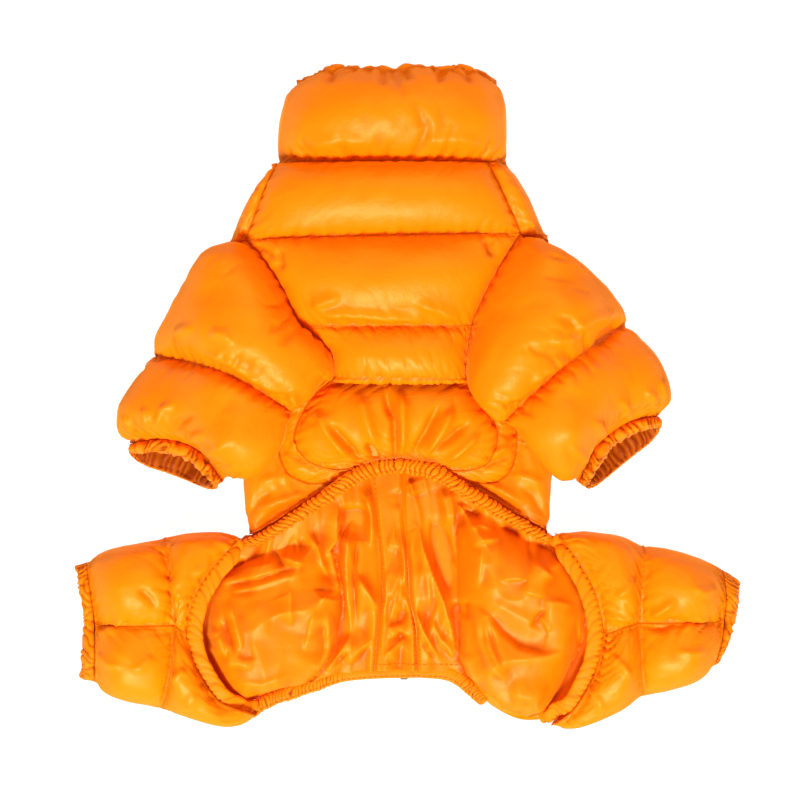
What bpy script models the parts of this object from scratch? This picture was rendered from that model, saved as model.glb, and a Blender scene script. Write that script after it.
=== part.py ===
"""Padded dog jumpsuit lying on its back: four short legs, funnel collar, back zip.

Millimetres in the tables, metres in the scene. +X is the right of the garment as it
lies, +Y points to the collar and +Z up, with the floor at Z = 0.
"""
import math

import bmesh
import bpy
import numpy as np
from mathutils import Vector

MM = 0.001
SEAM_GAP = 0.3          # between neighbouring pieces
EDGE_WALL = 2.6         # cloth thickness where a seam or stitch line flattens it
SIDE_Z = 12.5           # height of the outline's widest line above the floor
ZIP_X = -2.0            # centre line of the back zip
ZIP_HALF = 5.3          # from the zip's centre to the edge of each back panel
ZIP_EDGE_Z = 4.2        # the back panels lift here, clear of the floor

COLOURS = {             # linear base colours
    "shell": (1.00, 0.26, 0.008),
    "shell_deep": (0.93, 0.18, 0.005),
    "elastic": (0.86, 0.15, 0.004),
    "lining": (0.96, 0.20, 0.006),
    "tape": (0.85, 0.16, 0.006),
    "metal": (0.16, 0.13, 0.10),
}

# Torso sections from the collar seam to the lower edge of the chest. side_*: outline of
# the body; back_*: edge of the back panel after it wraps over the side; front_*: edge of
# the front panel; seam_z, crest_z: front panel height at its edge and in the middle;
# pad: padding thickness; lift: height of the underside, 0 where it rests.
CHEST_COLUMNS = ("y_left", "y_right", "side_left", "back_left", "front_left", "front_right",
                 "back_right", "side_right", "back_z", "seam_z", "crest_z", "pad", "lift")
CHEST_ROWS = (
    (142, 143, -79, -78, -78, 48, 48, 60, 26, 26, 32, 2.6, 3.5),
    (137, 138, -84, -80, -80, 50, 50, 64, 31, 31, 47, 8.0, 0.5),
    (121, 123, -95, -87, -87, 57, 57, 74, 34, 34, 55, 11.0, 0.0),
    (103, 107, -104, -94, -94, 65, 65, 81, 31, 31, 49, 8.0, 0.5),
    (96, 100, -109, -97, -97, 68, 68, 85, 26, 26, 41, 2.6, 3.0),
    (92.5, 96.5, -110, -108.5, -93, 65, 84.5, 86.5, 15, 29, 47, 7.0, 0.5),
    (70, 72, -108, -103, -76, 50, 82, 88, 17, 36, 60, 11.0, 0.0),
    (50, 50, -106, -96, -66, 40, 76, 89, 19, 36, 53, 8.0, 0.5),
    (44, 44, -105, -92, -62, 38, 71, 89, 20, 33, 46, 2.6, 3.0),
    (38, 38, -104, -86, -54, 37, 65, 89, 21, 34, 52, 7.0, 0.5),
    (26, 25, -103, -70, -45, 35, 50, 89, 22, 35, 57, 10.0, 0.0),
    (13, 12, -102, -50, -44, 36, 38, 89, 23, 33, 49, 7.0, 0.5),
)
ARM_TOP_ROW = 4         # the armhole runs from this section to the last one
SHOULDER_PUFF = 2.0     # rise of the wrapped back panel above its edge
BELLY_PUFF = 1.5
FLANK_PUFF = 0.2        # where a sleeve lies on it

# Sections from the chest's lower edge to the elastic arch. reach: how far each one has
# come towards the arch; belly_*: edge of the belly panel.
BELLY_COLUMNS = ("reach", "y_back", "side_left", "back_left", "belly_left", "belly_right",
                 "back_right", "side_right", "back_z", "seam_z", "crest_z", "pad", "lift")
BELLY_ROWS = (
    (0.00, 11, -102, -64, -46, 37, 50, 89, 22, 25, 36, 4.0, 2.0),
    (0.20, -12, -101, -78, -60, 46, 62, 89, 22, 27, 40, 8.0, 0.0),
    (0.45, -32, -101, -78, -68, 54, 66, 88, 21, 28, 43, 9.0, 0.0),
    (0.70, -52, -100, -72, -58, 49, 62, 88, 20, 27, 40, 8.0, 0.0),
    (0.90, -70, -98, -56, -42, 34, 48, 87, 19, 25, 34, 5.0, 1.0),
    (1.00, -81, -96, -44, -31, 23, 34, 85, 18, 24, 30, 2.6, 3.0),
)
CHEST_END_Y = 12.0      # lower edge of the chest, where the belly panel tucks under it

ARCH = (                # centre line of the belly elastic: x, y, height
    (-98.5, -87.5, 17), (-86, -82, 18), (-64, -68, 21), (-46, -56, 24), (-34, -47, 26),
    (-20, -41, 27), (-4, -39, 28), (14, -42, 27), (28, -50, 26), (44, -60, 24),
    (62, -71, 21), (76, -79, 18), (86, -84.5, 17),
)
ELASTIC_RADIUS = 4.2
BINDING_CLEAR = 1.9     # from the leg's edge, whose straight facets cut the curve's corners

# Collar sections upwards from its seam: outline, height, padding, and how far the front
# lip stands before the back one at the mouth.
COLLAR_COLUMNS = ("y_left", "y_right", "side_left", "side_right", "crest_z", "pad", "lift", "ahead")
COLLAR_ROWS = (
    (142.3, 143.3, -79, 60, 31, 2.6, 3.5, 0.0),
    (148, 149, -78, 59.5, 46, 8.0, 0.5, 0.0),
    (166, 167, -75, 58, 53, 11.0, 0.0, 0.0),
    (185, 185, -70, 56, 46, 8.0, 0.0, 1.0),
    (193.1, 193.1, -67, 54, 37, 4.0, 0.5, 5.0),
)

# Sleeve sections from the armhole to the cuff seam: the two ends of each section's line,
# its bow towards the shoulder, its height and its padding.
SLEEVE_COLUMNS = ("out_x", "out_y", "in_x", "in_y", "bow", "height", "pad")
SLEEVES = {
    "left": (
        (-121, 87, -50, 13, 2, 33, 7.0),
        (-138, 58, -58, 2, 3, 38, 10.0),
        (-151, 36, -66, -4, 5, 32, 8.0),
        (-153, 27, -69, -7, 7, 23, 2.8),
        (-159, 19, -71, -14, 6, 32, 8.0),
        (-172, -4, -80, -33, 2, 39, 10.0),
        (-174, -17, -95, -46, 3, 30, 7.0),
        (-169, -26, -110, -48, 7, 19, 2.8),
    ),
    "right": (
        (95, 87, 39, 5, 2, 33, 7.0),
        (114, 70, 47, -6, 3, 38, 10.0),
        (130, 54, 53, -12, 4, 32, 8.0),
        (132, 46, 56, -13, 4, 23, 2.8),
        (139, 39, 62, -16, 4, 32, 8.0),
        (153, 20, 74, -31, 2, 39, 10.0),
        (159, 0, 92, -49, 3, 30, 7.0),
        (153, -9, 102, -49, 6, 19, 2.8),
    ),
}
# Cuff sections from the seam to the mouth: how far along the sleeve, measured on the
# upper and on the lower layer, and the band's height.
CUFF_COLUMNS = ("along_top", "along_bottom", "height", "pad")
CUFF_ROWS = (
    (0.4, 0.4, 19, 2.8),
    (4.0, 5.5, 22, 3.2),
    (8.0, 12.0, 21, 3.0),
    (10.0, 16.0, 18, 2.4),
)
CUFF_AXIS = {"left": (-0.45, -0.893), "right": (0.60, -0.80)}
CUFF_BOW = {"left": 7, "right": 6}
# The sleeves lie on the body's sides: their underside rises from the floor over a ramp
# whose foot and head are given at the cuff and at the shoulder: y, foot x, head x.
SLEEVE_RAMP = {
    "left": ((-45, -132, -99), (50, -155, -109)),
    "right": ((-45, 122, 90), (50, 136, 93)),
}
SLEEVE_OVER_BODY = 26

# Leg sections from the elastic binding to the cuff: front and rear end of each section's
# line, its bow along the leg, height of the lengthwise seam and of the crests, padding.
LEG_COLUMNS = ("fore_x", "fore_y", "rear_x", "rear_y", "bow", "seam_z", "crest_z", "pad", "lift")
LEGS = {
    "left": (
        (-100, -83, -103, -190, -30, 21, 25, 2.6, 2.0),
        (-113, -80.5, -112, -195, -22, 27, 36, 6.0, 0.0),
        (-131, -80.5, -131, -192, -6, 30, 40, 8.0, 0.0),
        (-147, -83, -148, -187, 8, 24, 29, 2.6, 3.0),
        (-158, -85, -157, -184, 7, 30, 38, 7.0, 0.0),
        (-172, -88, -171, -181, 5, 32, 41, 8.0, 0.0),
        (-187, -93, -184, -177, 3, 25, 32, 5.0, 0.5),
        (-194, -98, -189, -171, 3, 19, 23, 2.6, 2.5),
    ),
    "right": (
        (89, -80, 90, -194, 27, 21, 25, 2.6, 2.0),
        (100, -79, 99, -198, 21, 27, 36, 6.0, 0.0),
        (120, -80, 121, -191, 9, 30, 40, 8.0, 0.0),
        (143, -88, 142, -179, -3, 24, 29, 2.6, 3.0),
        (153, -89, 152, -177, -2, 30, 38, 7.0, 0.0),
        (167, -92, 166, -173, 0, 32, 41, 8.0, 0.0),
        (183, -98, 178, -168, 3, 25, 32, 5.0, 0.5),
        (190, -102, 184, -162, 4, 19, 23, 2.6, 2.5),
    ),
}
LEG_SEAM_AT = 0.5       # the lengthwise seam, as a fraction from the front to the rear
LEG_CUFF = {            # shift of the mouth from the cuff seam at its front and rear end
    "left": ((-6.5, -2), (-9, 2)),
    "right": ((10.4, -6), (3.4, 2)),
}

# Rear edge of each rump panel from the zip outwards: x, y.
RUMP_REAR = {
    "left": ((-7.3, -161), (-21, -161.5), (-42, -163), (-52, -166.5), (-64, -171),
             (-78, -175.5), (-92, -180), (-105, -184)),
    "right": ((3.3, -161), (12, -161), (24, -161.5), (32, -164), (40, -172),
              (52, -184), (74, -192), (94, -187)),
}
PUFFS = {               # the lining's two domes: centre, half size, rise
    "left": (-80, -138, 40, 44, 19),
    "right": (64, -134, 41, 54, 21),
}
RUMP_PAD = 8.0
RUMP_START_Y = -81.6
LINING_WALL = 1.4
LINING_FRONT = {        # where the lining comes out below the elastic arch: y, outer x
    "left": ((-49, -32), (-66, -56), (-82, -84)),
    "right": ((-51, 26), (-68, 50), (-82, 73)),
}
LINING_FIRST_COLUMN = {"left": 1, "right": 0}     # of the rump panel's columns
FACING = {"x_left": -20.0, "x_right": 5.5, "y_front": -49.0, "y_rear": -160.6}

TAIL_HEM = ((-98, -186.5), (-78, -180), (-62, -174.8), (-50, -170.6), (-38, -167.6), (-20, -166.2),
            (-4, -165.8), (12, -165.8), (22, -166.4), (29, -169.6), (36, -176.5))
TAIL_HEM_RADIUS = 3.7
TAIL_HEM_Z = 7.6

ZIP = {"top_y": 141.5, "end_y": -149.0, "half_width": 4.9, "z_low": 4.6, "z_high": 6.2}
SLIDER = {"length": 9.0, "half_width": 4.0, "z_low": 3.3, "z_high": 7.6}
PULL_AXIS = {"y": -155.2, "z": 1.6}
PULL = {"pin": 0.55, "hole": 0.85, "eye": 1.3, "half_width": 1.9, "thickness": 1.1,
        "grip_half": 3.1, "reach": 15.6}
LUG = {"inner": 2.2, "outer": 3.4, "half_length": 1.4}


def clear_scene():
    for obj in list(bpy.data.objects):
        bpy.data.objects.remove(obj, do_unlink=True)


def make_collection(name):
    collection = bpy.data.collections.new(name)
    bpy.context.scene.collection.children.link(collection)
    return collection


def make_material(name, colour, roughness=0.42, metallic=0.0):
    material = bpy.data.materials.new(name)
    material.use_nodes = True
    shader = material.node_tree.nodes["Principled BSDF"]
    shader.inputs["Base Color"].default_value = (*colour, 1.0)
    shader.inputs["Roughness"].default_value = roughness
    shader.inputs["Metallic"].default_value = metallic
    return material


def as_rows(columns, rows):
    """Each table row as a dictionary keyed by its column names."""
    return [dict(zip(columns, row)) for row in rows]


def add_object(name, mesh, colour, roughness=0.42, metallic=0.0):
    obj = bpy.data.objects.new(name, mesh)
    mesh.materials.clear()
    mesh.materials.append(make_material(name + "_material", COLOURS[colour], roughness, metallic))
    PARTS.objects.link(obj)
    return obj


def pull_back_edges(outer, inner, columns=True):
    """Move a panel's borders in by half a seam gap, level, so neighbours stay apart."""
    def shift(edge, beside):
        step = beside - edge
        step[:, 2] = 0.0
        length = np.linalg.norm(step, axis=1, keepdims=True)
        return step / np.maximum(length, 1e-6) * (SEAM_GAP / 2)

    moves = [((0, slice(None)), shift(outer[0], outer[1])),
             ((-1, slice(None)), shift(outer[-1], outer[-2]))]
    if columns:
        moves += [((slice(None), 0), shift(outer[:, 0], outer[:, 1])),
                  ((slice(None), -1), shift(outer[:, -1], outer[:, -2]))]
    for place, move in moves:
        outer[place] += move
        inner[place] += move
    return outer, inner


def wall_mesh(name, outer, inner, tube):
    """Closed solid between two grids of points; a tube's columns join up in a ring."""
    rows, columns = outer.shape[:2]
    points = np.concatenate([outer.reshape(-1, 3), inner.reshape(-1, 3)]) * MM
    skin = rows * columns

    def at(layer, row, column):
        return layer * skin + row * columns + column % columns

    faces = []
    for row in range(rows - 1):
        for column in range(columns if tube else columns - 1):
            ring = [(row, column), (row, column + 1), (row + 1, column + 1), (row + 1, column)]
            faces.append([at(0, *corner) for corner in ring])
            faces.append([at(1, *corner) for corner in reversed(ring)])
    for column in range(columns if tube else columns - 1):
        for row, order in ((0, 1), (rows - 1, -1)):
            strip = [at(0, row, column), at(1, row, column), at(1, row, column + 1), at(0, row, column + 1)]
            faces.append(strip[::order])
    if not tube:
        for row in range(rows - 1):
            for column, order in ((0, -1), (columns - 1, 1)):
                strip = [at(0, row, column), at(1, row, column), at(1, row + 1, column), at(0, row + 1, column)]
                faces.append(strip[::order])
    mesh = bpy.data.meshes.new(name)
    mesh.from_pydata(points.tolist(), [], faces)
    shaped = bmesh.new()
    shaped.from_mesh(mesh)
    bmesh.ops.recalc_face_normals(shaped, faces=shaped.faces)
    shaped.to_mesh(mesh)
    shaped.free()
    return mesh


def add_wall(name, outer, inner, colour, tube=False, seams=True):
    outer = np.array(outer, float)
    inner = np.array(inner, float)
    if seams:
        outer, inner = pull_back_edges(outer, inner, columns=not tube)
    return add_object(name, wall_mesh(name, outer, inner, tube), colour)


def bulge(across, power=2.6):
    """Height of a padded panel, 0 at both edges (-1 and 1) and 1 in the middle."""
    return (1.0 - np.abs(across) ** power) ** 0.5


PANEL_ACROSS = np.array((-1.0, -0.93, -0.72, -0.4, 0.0, 0.4, 0.72, 0.93, 1.0))


def panel_section(left, right, seam_z, crest_z, pad):
    """Outer and inner line of an upper panel from its left to its right seam: x, z."""
    x = left + (right - left) * (PANEL_ACROSS + 1) / 2
    rise = bulge(PANEL_ACROSS)
    z = seam_z + (crest_z - seam_z) * rise
    thick = EDGE_WALL + (pad - EDGE_WALL) * rise
    return np.column_stack([x, z]), np.column_stack([x, z - thick])


REST_RUN = 9.0          # from a section's raised start down to where it rests
ROUND_RUN = 12.0        # from where it leaves the floor to the widest line
ROUND_NEAR = 3.5        # from the last bend before the widest line
UNDER_AT = 0.55         # the underside's middle bend, as a share of its width
ROUND_RISE = 0.32       # height of that last bend, as a share of the widest line's
SHOULDER_RISE = 0.62    # height of the first bend above the widest line
PAD_LIMIT = 0.36        # padding takes no more than this share of a section's height
LEAST_ROOM = 6.0


def wrap_section(start, side, end, end_z, crest_z, pad, lift, start_z):
    """Section of a panel that starts on the underside, rounds the side and ends above.

    start, side and end are places across the garment; the result is outer and inner x, z.
    """
    towards = math.copysign(1.0, start - side)
    room = max(crest_z - lift, LEAST_ROOM)
    thick = min(pad, room * PAD_LIMIT)
    span = abs(start - side)
    top_span = abs(end - side)
    edge = min(thick, EDGE_WALL)
    shoulder_run = min(ROUND_NEAR, top_span * 0.3)
    shoulder_z = SIDE_Z + (crest_z - SIDE_Z) * SHOULDER_RISE
    top_z = max(crest_z, end_z)
    outer = [
        (start, start_z),
        (start - towards * REST_RUN, lift),
        (side + towards * span * UNDER_AT, lift),
        (side + towards * ROUND_RUN, lift),
        (side + towards * ROUND_NEAR, lift + (SIDE_Z - lift) * ROUND_RISE),
        (side, SIDE_Z),
        (side + towards * shoulder_run, shoulder_z),
        (side + towards * top_span * 0.5, top_z),
        (end, end_z),
    ]
    # The lining's line keeps the padding's thickness and turns inside the outer bends.
    inner = [
        (start, start_z + edge),
        (start - towards * REST_RUN, lift + thick),
        (side + towards * span * UNDER_AT, lift + thick),
        (side + towards * (ROUND_RUN + thick * 0.3), lift + thick),
        (side + towards * (ROUND_NEAR + thick * 0.8), lift + thick * 1.05),
        (side + towards * min(thick + 1.0, max(top_span * 0.5, 3.2)), lift + room * 0.5),
        (side + towards * max(min(ROUND_NEAR + thick * 0.5, top_span * 0.72), shoulder_run),
         max(lift + room * 0.56, shoulder_z - thick)),
        (side + towards * max(top_span * 0.5, min(top_span * 0.86, thick + ROUND_NEAR)),
         top_z - thick),
        (end, end_z - edge),
    ]
    return np.array(outer), np.array(inner)


def tilted(section, y_left, y_right):
    """Stand an x, z section on a line that runs from y_left to y_right across the garment."""
    share = (section[:, 0] + 100) / 190
    y = y_left + (y_right - y_left) * share
    return np.column_stack([section[:, 0], y, section[:, 1]])


def arch_y(x):
    """Upper edge of the belly elastic, where the cloth above it ends."""
    line = np.array(ARCH)
    slope = np.interp(x, line[:, 0], np.gradient(line[:, 1], line[:, 0]))
    return np.interp(x, line[:, 0], line[:, 1]) + (ELASTIC_RADIUS + 0.6) * np.sqrt(1 + slope ** 2)


def towards_arch(section, reach, y_back):
    """Lay an x, z section between the chest's edge and the arch, its underside at y_back."""
    x, z = section[:, 0], section[:, 1]
    y_over = CHEST_END_Y + (arch_y(x) - CHEST_END_Y) * reach
    over = np.clip((z - SIDE_Z * 0.85) / (SIDE_Z * 0.35), 0, 1)
    y = y_back + (y_over - y_back) * over
    return np.column_stack([x, y, z])


CHEST = as_rows(CHEST_COLUMNS, CHEST_ROWS)
BELLY = as_rows(BELLY_COLUMNS, BELLY_ROWS)


def back_grids(side):
    """Back panel of one side, from the collar seam to the arch, wrapping over the flank."""
    outer, inner = [], []
    start = ZIP_X + (-ZIP_HALF if side == "left" else ZIP_HALF)
    for place, row in enumerate(CHEST):
        crest_z = row["back_z"] + (SHOULDER_PUFF if place <= ARM_TOP_ROW else FLANK_PUFF)
        lines = wrap_section(start, row["side_" + side], row["back_" + side], row["back_z"],
                             crest_z, row["pad"], row["lift"], ZIP_EDGE_Z)
        outer.append(tilted(lines[0], row["y_left"], row["y_right"]))
        inner.append(tilted(lines[1], row["y_left"], row["y_right"]))
    for row in BELLY:
        lines = wrap_section(start, row["side_" + side], row["back_" + side], row["back_z"],
                             row["back_z"] + BELLY_PUFF, row["pad"], row["lift"], ZIP_EDGE_Z)
        for grid, line in zip((outer, inner), lines):
            grid.append(towards_arch(line, row["reach"], row["y_back"]))
    for outer_row, inner_row in zip(outer[len(CHEST):], inner[len(CHEST):]):
        inner_row[:, 1] = outer_row[:, 1]
    return np.array(outer), np.array(inner)


def build_back(side):
    outer, inner = back_grids(side)
    add_wall("back_" + side, outer, inner, "shell")


def front_grids():
    outer, inner = [], []
    for row in CHEST:
        lines = panel_section(row["front_left"], row["front_right"], row["seam_z"],
                              row["crest_z"], row["pad"])
        outer.append(tilted(lines[0], row["y_left"], row["y_right"]))
        inner.append(tilted(lines[1], row["y_left"], row["y_right"]))
    return np.array(outer), np.array(inner)


def build_front():
    outer, inner = front_grids()
    add_wall("front_panel", outer, inner, "shell")


def build_belly():
    outer, inner = [], []
    for row in BELLY:
        lines = panel_section(row["belly_left"], row["belly_right"], row["seam_z"],
                              row["crest_z"], row["pad"])
        for grid, line in zip((outer, inner), lines):
            y = CHEST_END_Y + (arch_y(line[:, 0]) - CHEST_END_Y) * row["reach"]
            grid.append(np.column_stack([line[:, 0], y, line[:, 1]]))
    add_wall("belly_panel", outer, inner, "shell_deep")


GUSSET_ACROSS = np.array((0.0, 0.3, 0.7, 1.0))


def build_gusset(side):
    """Narrow pleated strip between the back panel's edge and the belly panel."""
    outer, inner = [], []
    for row in BELLY:
        x = row["back_" + side] + (row["belly_" + side] - row["back_" + side]) * GUSSET_ACROSS
        z = row["back_z"] + (row["seam_z"] - row["back_z"]) * GUSSET_ACROSS
        z = z + 2.5 * bulge(GUSSET_ACROSS * 2 - 1)
        y = CHEST_END_Y + (arch_y(x) - CHEST_END_Y) * row["reach"]
        outer.append(np.column_stack([x, y, z]))
        inner.append(np.column_stack([x, y, z - EDGE_WALL - 1.5 * bulge(GUSSET_ACROSS * 2 - 1)]))
    add_wall("side_strip_" + side, outer, inner, "shell_deep")


COLLAR_TURNS = 20


def collar_loop(row, shrink):
    """One collar section: a flattened ring, full above and flat below."""
    angle = np.arange(COLLAR_TURNS) / COLLAR_TURNS * 2 * math.pi
    half = (row["side_right"] - row["side_left"]) / 2
    middle = (row["side_right"] + row["side_left"]) / 2
    across = np.sign(np.cos(angle)) * np.abs(np.cos(angle)) ** 0.7
    x = middle + (half - shrink) * across
    over = np.sin(angle) > 1e-6
    rise = bulge(across, 3.0)
    z_over = SIDE_Z + (row["crest_z"] - SIDE_Z - shrink) * rise
    z_under = row["lift"] + shrink + (SIDE_Z - row["lift"] - shrink) * (1 - bulge(across, 8.0))
    z = np.where(over, z_over, z_under)
    y = row["y_left"] + (row["y_right"] - row["y_left"]) * (x + 100) / 190
    y = y + np.where(over, row["ahead"] * rise, 0.0)
    return np.column_stack([x, y, z])


def build_collar():
    rows = as_rows(COLLAR_COLUMNS, COLLAR_ROWS)
    outer = [collar_loop(row, 0.0) for row in rows]
    inner = [collar_loop(row, row["pad"]) for row in rows]
    add_wall("collar", outer, inner, "shell", tube=True)


TOP_POINTS = 9
BOTTOM_POINTS = 6


def sleeve_base(side, x, y):
    """Height of the sleeve's underside: the floor, rising where it lies on the body."""
    places, feet, heads = zip(*SLEEVE_RAMP[side])
    foot, head = np.interp(y, places, feet), np.interp(y, places, heads)
    share = np.clip((x - foot) / (head - foot), 0, 1)
    return 0.4 + SLEEVE_OVER_BODY * share * share * (3 - 2 * share)


def sleeve_loop(side, row, shrink):
    """One sleeve section: upper layer from the outer to the inner edge, then back below."""
    top = np.linspace(0, 1, TOP_POINTS)
    bottom = np.linspace(1, 0, BOTTOM_POINTS + 2)[1:-1]
    along = np.concatenate([top, bottom])
    is_top = np.arange(len(along)) < TOP_POINTS
    width = math.hypot(row["in_x"] - row["out_x"], row["in_y"] - row["out_y"])
    margin = shrink / width
    place = margin + (1 - 2 * margin) * along
    x = row["out_x"] + (row["in_x"] - row["out_x"]) * place
    y = row["out_y"] + (row["in_y"] - row["out_y"]) * place
    bow = row["bow"] * np.sin(np.pi * place)
    axis = CUFF_AXIS[side]
    x, y = x - axis[0] * bow, y - axis[1] * bow
    base = sleeve_base(side, x, y)
    height = row["height"]
    edge = 0.42 * height
    rise = bulge(2 * along - 1, 2.6)
    flat = bulge(2 * along - 1, 5.0)
    z_top = base + edge + (height - edge - shrink) * rise
    z_bottom = base + shrink + (edge - shrink) * (1 - flat)
    return np.column_stack([x, y, np.where(is_top, z_top, z_bottom)])


def armhole_loop(side, layer):
    """The sleeve's first ring, made from the edges of the front and back panels."""
    front_outer, front_inner = front_grids()
    back_outer = back_grids(side)[0]
    column = 0 if side == "left" else -1
    front = (front_outer, front_inner)[layer][:, column]
    sign = -1 if side == "left" else 1
    first = ARM_TOP_ROW + 1
    shoulder = back_outer[first, -1] + (0, 0, SEAM_GAP)
    if layer:
        shoulder = shoulder - (sign * EDGE_WALL, EDGE_WALL * 0.6, -EDGE_WALL * 0.6)
    corner = front[ARM_TOP_ROW] - (0, SEAM_GAP * 1.6, 0)
    edge = front[first:] + (sign * SEAM_GAP, 0, 0)
    bottom = back_outer[len(CHEST) - 1:first:-1, -1] + (0, 0, SEAM_GAP + (EDGE_WALL if layer else 0.0))
    top = np.concatenate([[shoulder, corner], edge])
    return np.concatenate([top, bottom])


def build_sleeve(side):
    rows = as_rows(SLEEVE_COLUMNS, SLEEVES[side])
    outer = [armhole_loop(side, 0)] + [sleeve_loop(side, row, 0.0) for row in rows]
    inner = [armhole_loop(side, 1)] + [sleeve_loop(side, row, row["pad"]) for row in rows]
    outer, inner = np.array(outer), np.array(inner)
    add_wall("sleeve_" + side, outer, inner, "shell", tube=True, seams=False)


def build_sleeve_cuff(side):
    seam = as_rows(SLEEVE_COLUMNS, SLEEVES[side])[-1]
    axis = CUFF_AXIS[side]
    outer, inner = [], []
    for cuff in as_rows(CUFF_COLUMNS, CUFF_ROWS):
        row = dict(seam, height=cuff["height"], pad=cuff["pad"])
        for grid, shrink in ((outer, 0.0), (inner, row["pad"])):
            loop = sleeve_loop(side, row, shrink)
            along = np.full(len(loop), cuff["along_bottom"], float)
            along[1:TOP_POINTS - 1] = cuff["along_top"]
            along[[0, TOP_POINTS - 1]] = (cuff["along_top"] + cuff["along_bottom"]) / 2
            loop[:, 0] += axis[0] * along
            loop[:, 1] += axis[1] * along
            grid.append(loop)
    add_wall("sleeve_cuff_" + side, outer, inner, "elastic", tube=True, seams=False)


def leg_place(row, share):
    """Plan position on a leg section, share 0 at the front end and 1 at the rear end."""
    x = row["fore_x"] + (row["rear_x"] - row["fore_x"]) * share + row["bow"] * 4 * share * (1 - share)
    y = row["fore_y"] + (row["rear_y"] - row["fore_y"]) * share
    return x, y


def leg_section(row, part):
    """Outer and inner points of the front or rear half of one leg section."""
    width = abs(row["rear_y"] - row["fore_y"])
    end = 0.0 if part == "fore" else width
    middle = LEG_SEAM_AT * width
    lines = wrap_section(middle, end, middle, row["seam_z"], row["crest_z"], row["pad"],
                         row["lift"], row["lift"] + 1.5)
    result = []
    for line in lines:
        x, y = leg_place(row, line[:, 0] / width)
        result.append(np.column_stack([x, y, line[:, 1]]))
    return result


def build_leg(side):
    for part in ("fore", "rear"):
        sections = [leg_section(row, part) for row in as_rows(LEG_COLUMNS, LEGS[side])]
        outer = np.array([section[0] for section in sections])
        inner = np.array([section[1] for section in sections])
        add_wall("leg_{}_{}".format(part, side), outer, inner, "shell")


def build_leg_cuff(side):
    """Short elastic tube at the foot: both halves of the last leg section in one ring."""
    seam = as_rows(LEG_COLUMNS, LEGS[side])[-1]
    fore_shift, rear_shift = LEG_CUFF[side]
    outer, inner = [], []
    for step, height, pad in ((0.05, 22, 2.6), (0.5, 24, 3.2), (1.0, 21, 2.4)):
        row = dict(seam, crest_z=height, seam_z=height - 2, pad=pad)
        row["fore_x"] += fore_shift[0] * step
        row["fore_y"] += fore_shift[1] * step
        row["rear_x"] += rear_shift[0] * step
        row["rear_y"] += rear_shift[1] * step
        fore = leg_section(row, "fore")
        rear = leg_section(row, "rear")
        for grid, layer in ((outer, 0), (inner, 1)):
            grid.append(np.concatenate([fore[layer], rear[layer][-2:0:-1]]))
    outer, inner = np.array(outer), np.array(inner)
    add_wall("leg_cuff_" + side, outer, inner, "elastic", tube=True)


def add_rope(name, points, radius, colour):
    """Gathered elastic edge: a round tube along its own centre line."""
    curve = bpy.data.curves.new(name, "CURVE")
    curve.dimensions = "3D"
    curve.bevel_depth = radius * MM
    curve.bevel_resolution = 2
    curve.use_fill_caps = True
    spline = curve.splines.new("POLY")
    spline.points.add(len(points) - 1)
    for point, place in zip(spline.points, points):
        point.co = (*(Vector(place) * MM), 1.0)
    return add_object(name, curve, colour)


def build_belly_elastic():
    add_rope("belly_elastic", ARCH, ELASTIC_RADIUS, "elastic")


def build_leg_binding(side):
    row = as_rows(LEG_COLUMNS, LEGS[side])[0]
    towards = 1 if side == "left" else -1
    points = []
    for share in np.linspace(0.1, 0.93, 10):
        x, y = leg_place(row, share)
        slope = row["bow"] * 4 * (1 - 2 * share) / (row["rear_y"] - row["fore_y"])
        reach = (ELASTIC_RADIUS + BINDING_CLEAR) * math.sqrt(1 + slope * slope)
        points.append((x + towards * reach, y, 17.5 + 5 * math.sin(math.pi * share)))
    add_rope("leg_binding_" + side, points, ELASTIC_RADIUS, "elastic")


def puff_z(side, x, y):
    """Upper face of the rump padding: level, with one dome where the thigh would be."""
    centre_x, centre_y, half_x, half_y, rise = PUFFS[side]
    distance = ((x - centre_x) / half_x) ** 2 + ((y - centre_y) / half_y) ** 2
    return RUMP_PAD + rise * np.clip(1 - distance, 0, 1) ** 1.2


RUMP_SHARES = np.array((0.0, 0.06, 0.15, 0.3, 0.5, 0.7, 0.82, 0.9, 0.95))


def rump_plan(side):
    """Plan grid of the rump panel, its last column beside the leg's first section."""
    row = as_rows(LEG_COLUMNS, LEGS[side])[0]
    rear = np.array(RUMP_REAR[side])
    sign = -1 if side == "left" else 1
    front = np.column_stack([rear[:, 0], np.full(len(rear), RUMP_START_Y)])
    front[-1] = (row["fore_x"] - sign * 0.9, RUMP_START_Y - 0.6)
    front[1:-1, 0] = np.interp(np.arange(1, len(rear) - 1), (0, len(rear) - 1), (front[0, 0], front[-1, 0]))
    grid = front[None] + (rear - front)[None] * (RUMP_SHARES / RUMP_SHARES[-1])[:, None, None]
    edge_x, edge_y = leg_place(row, RUMP_SHARES)
    edge = np.column_stack([edge_x - sign * (SEAM_GAP + 0.4), edge_y])
    edge[0] = front[-1]
    pull = np.clip(np.linspace(-0.6, 1, len(rear)), 0, 1)
    grid += (edge - grid[:, -1])[:, None] * pull[None, :, None]
    return grid


def build_rump(side):
    plan = rump_plan(side)
    top = puff_z(side, plan[..., 0], plan[..., 1])
    edge_x = np.linspace(0, 1, plan.shape[1])
    top = top - (RUMP_PAD - ZIP_EDGE_Z - EDGE_WALL) * (edge_x[None] < 0.01)
    under = np.zeros(plan.shape[:2])
    under[:, 0] = ZIP_EDGE_Z
    under[:, -1] = 1.5
    under[-1] = 2.0
    under[-1, 0] = ZIP_EDGE_Z
    outer = np.dstack([plan, under])
    inner = np.dstack([plan, top])
    add_wall("rump_" + side, outer, inner, "shell")


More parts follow.
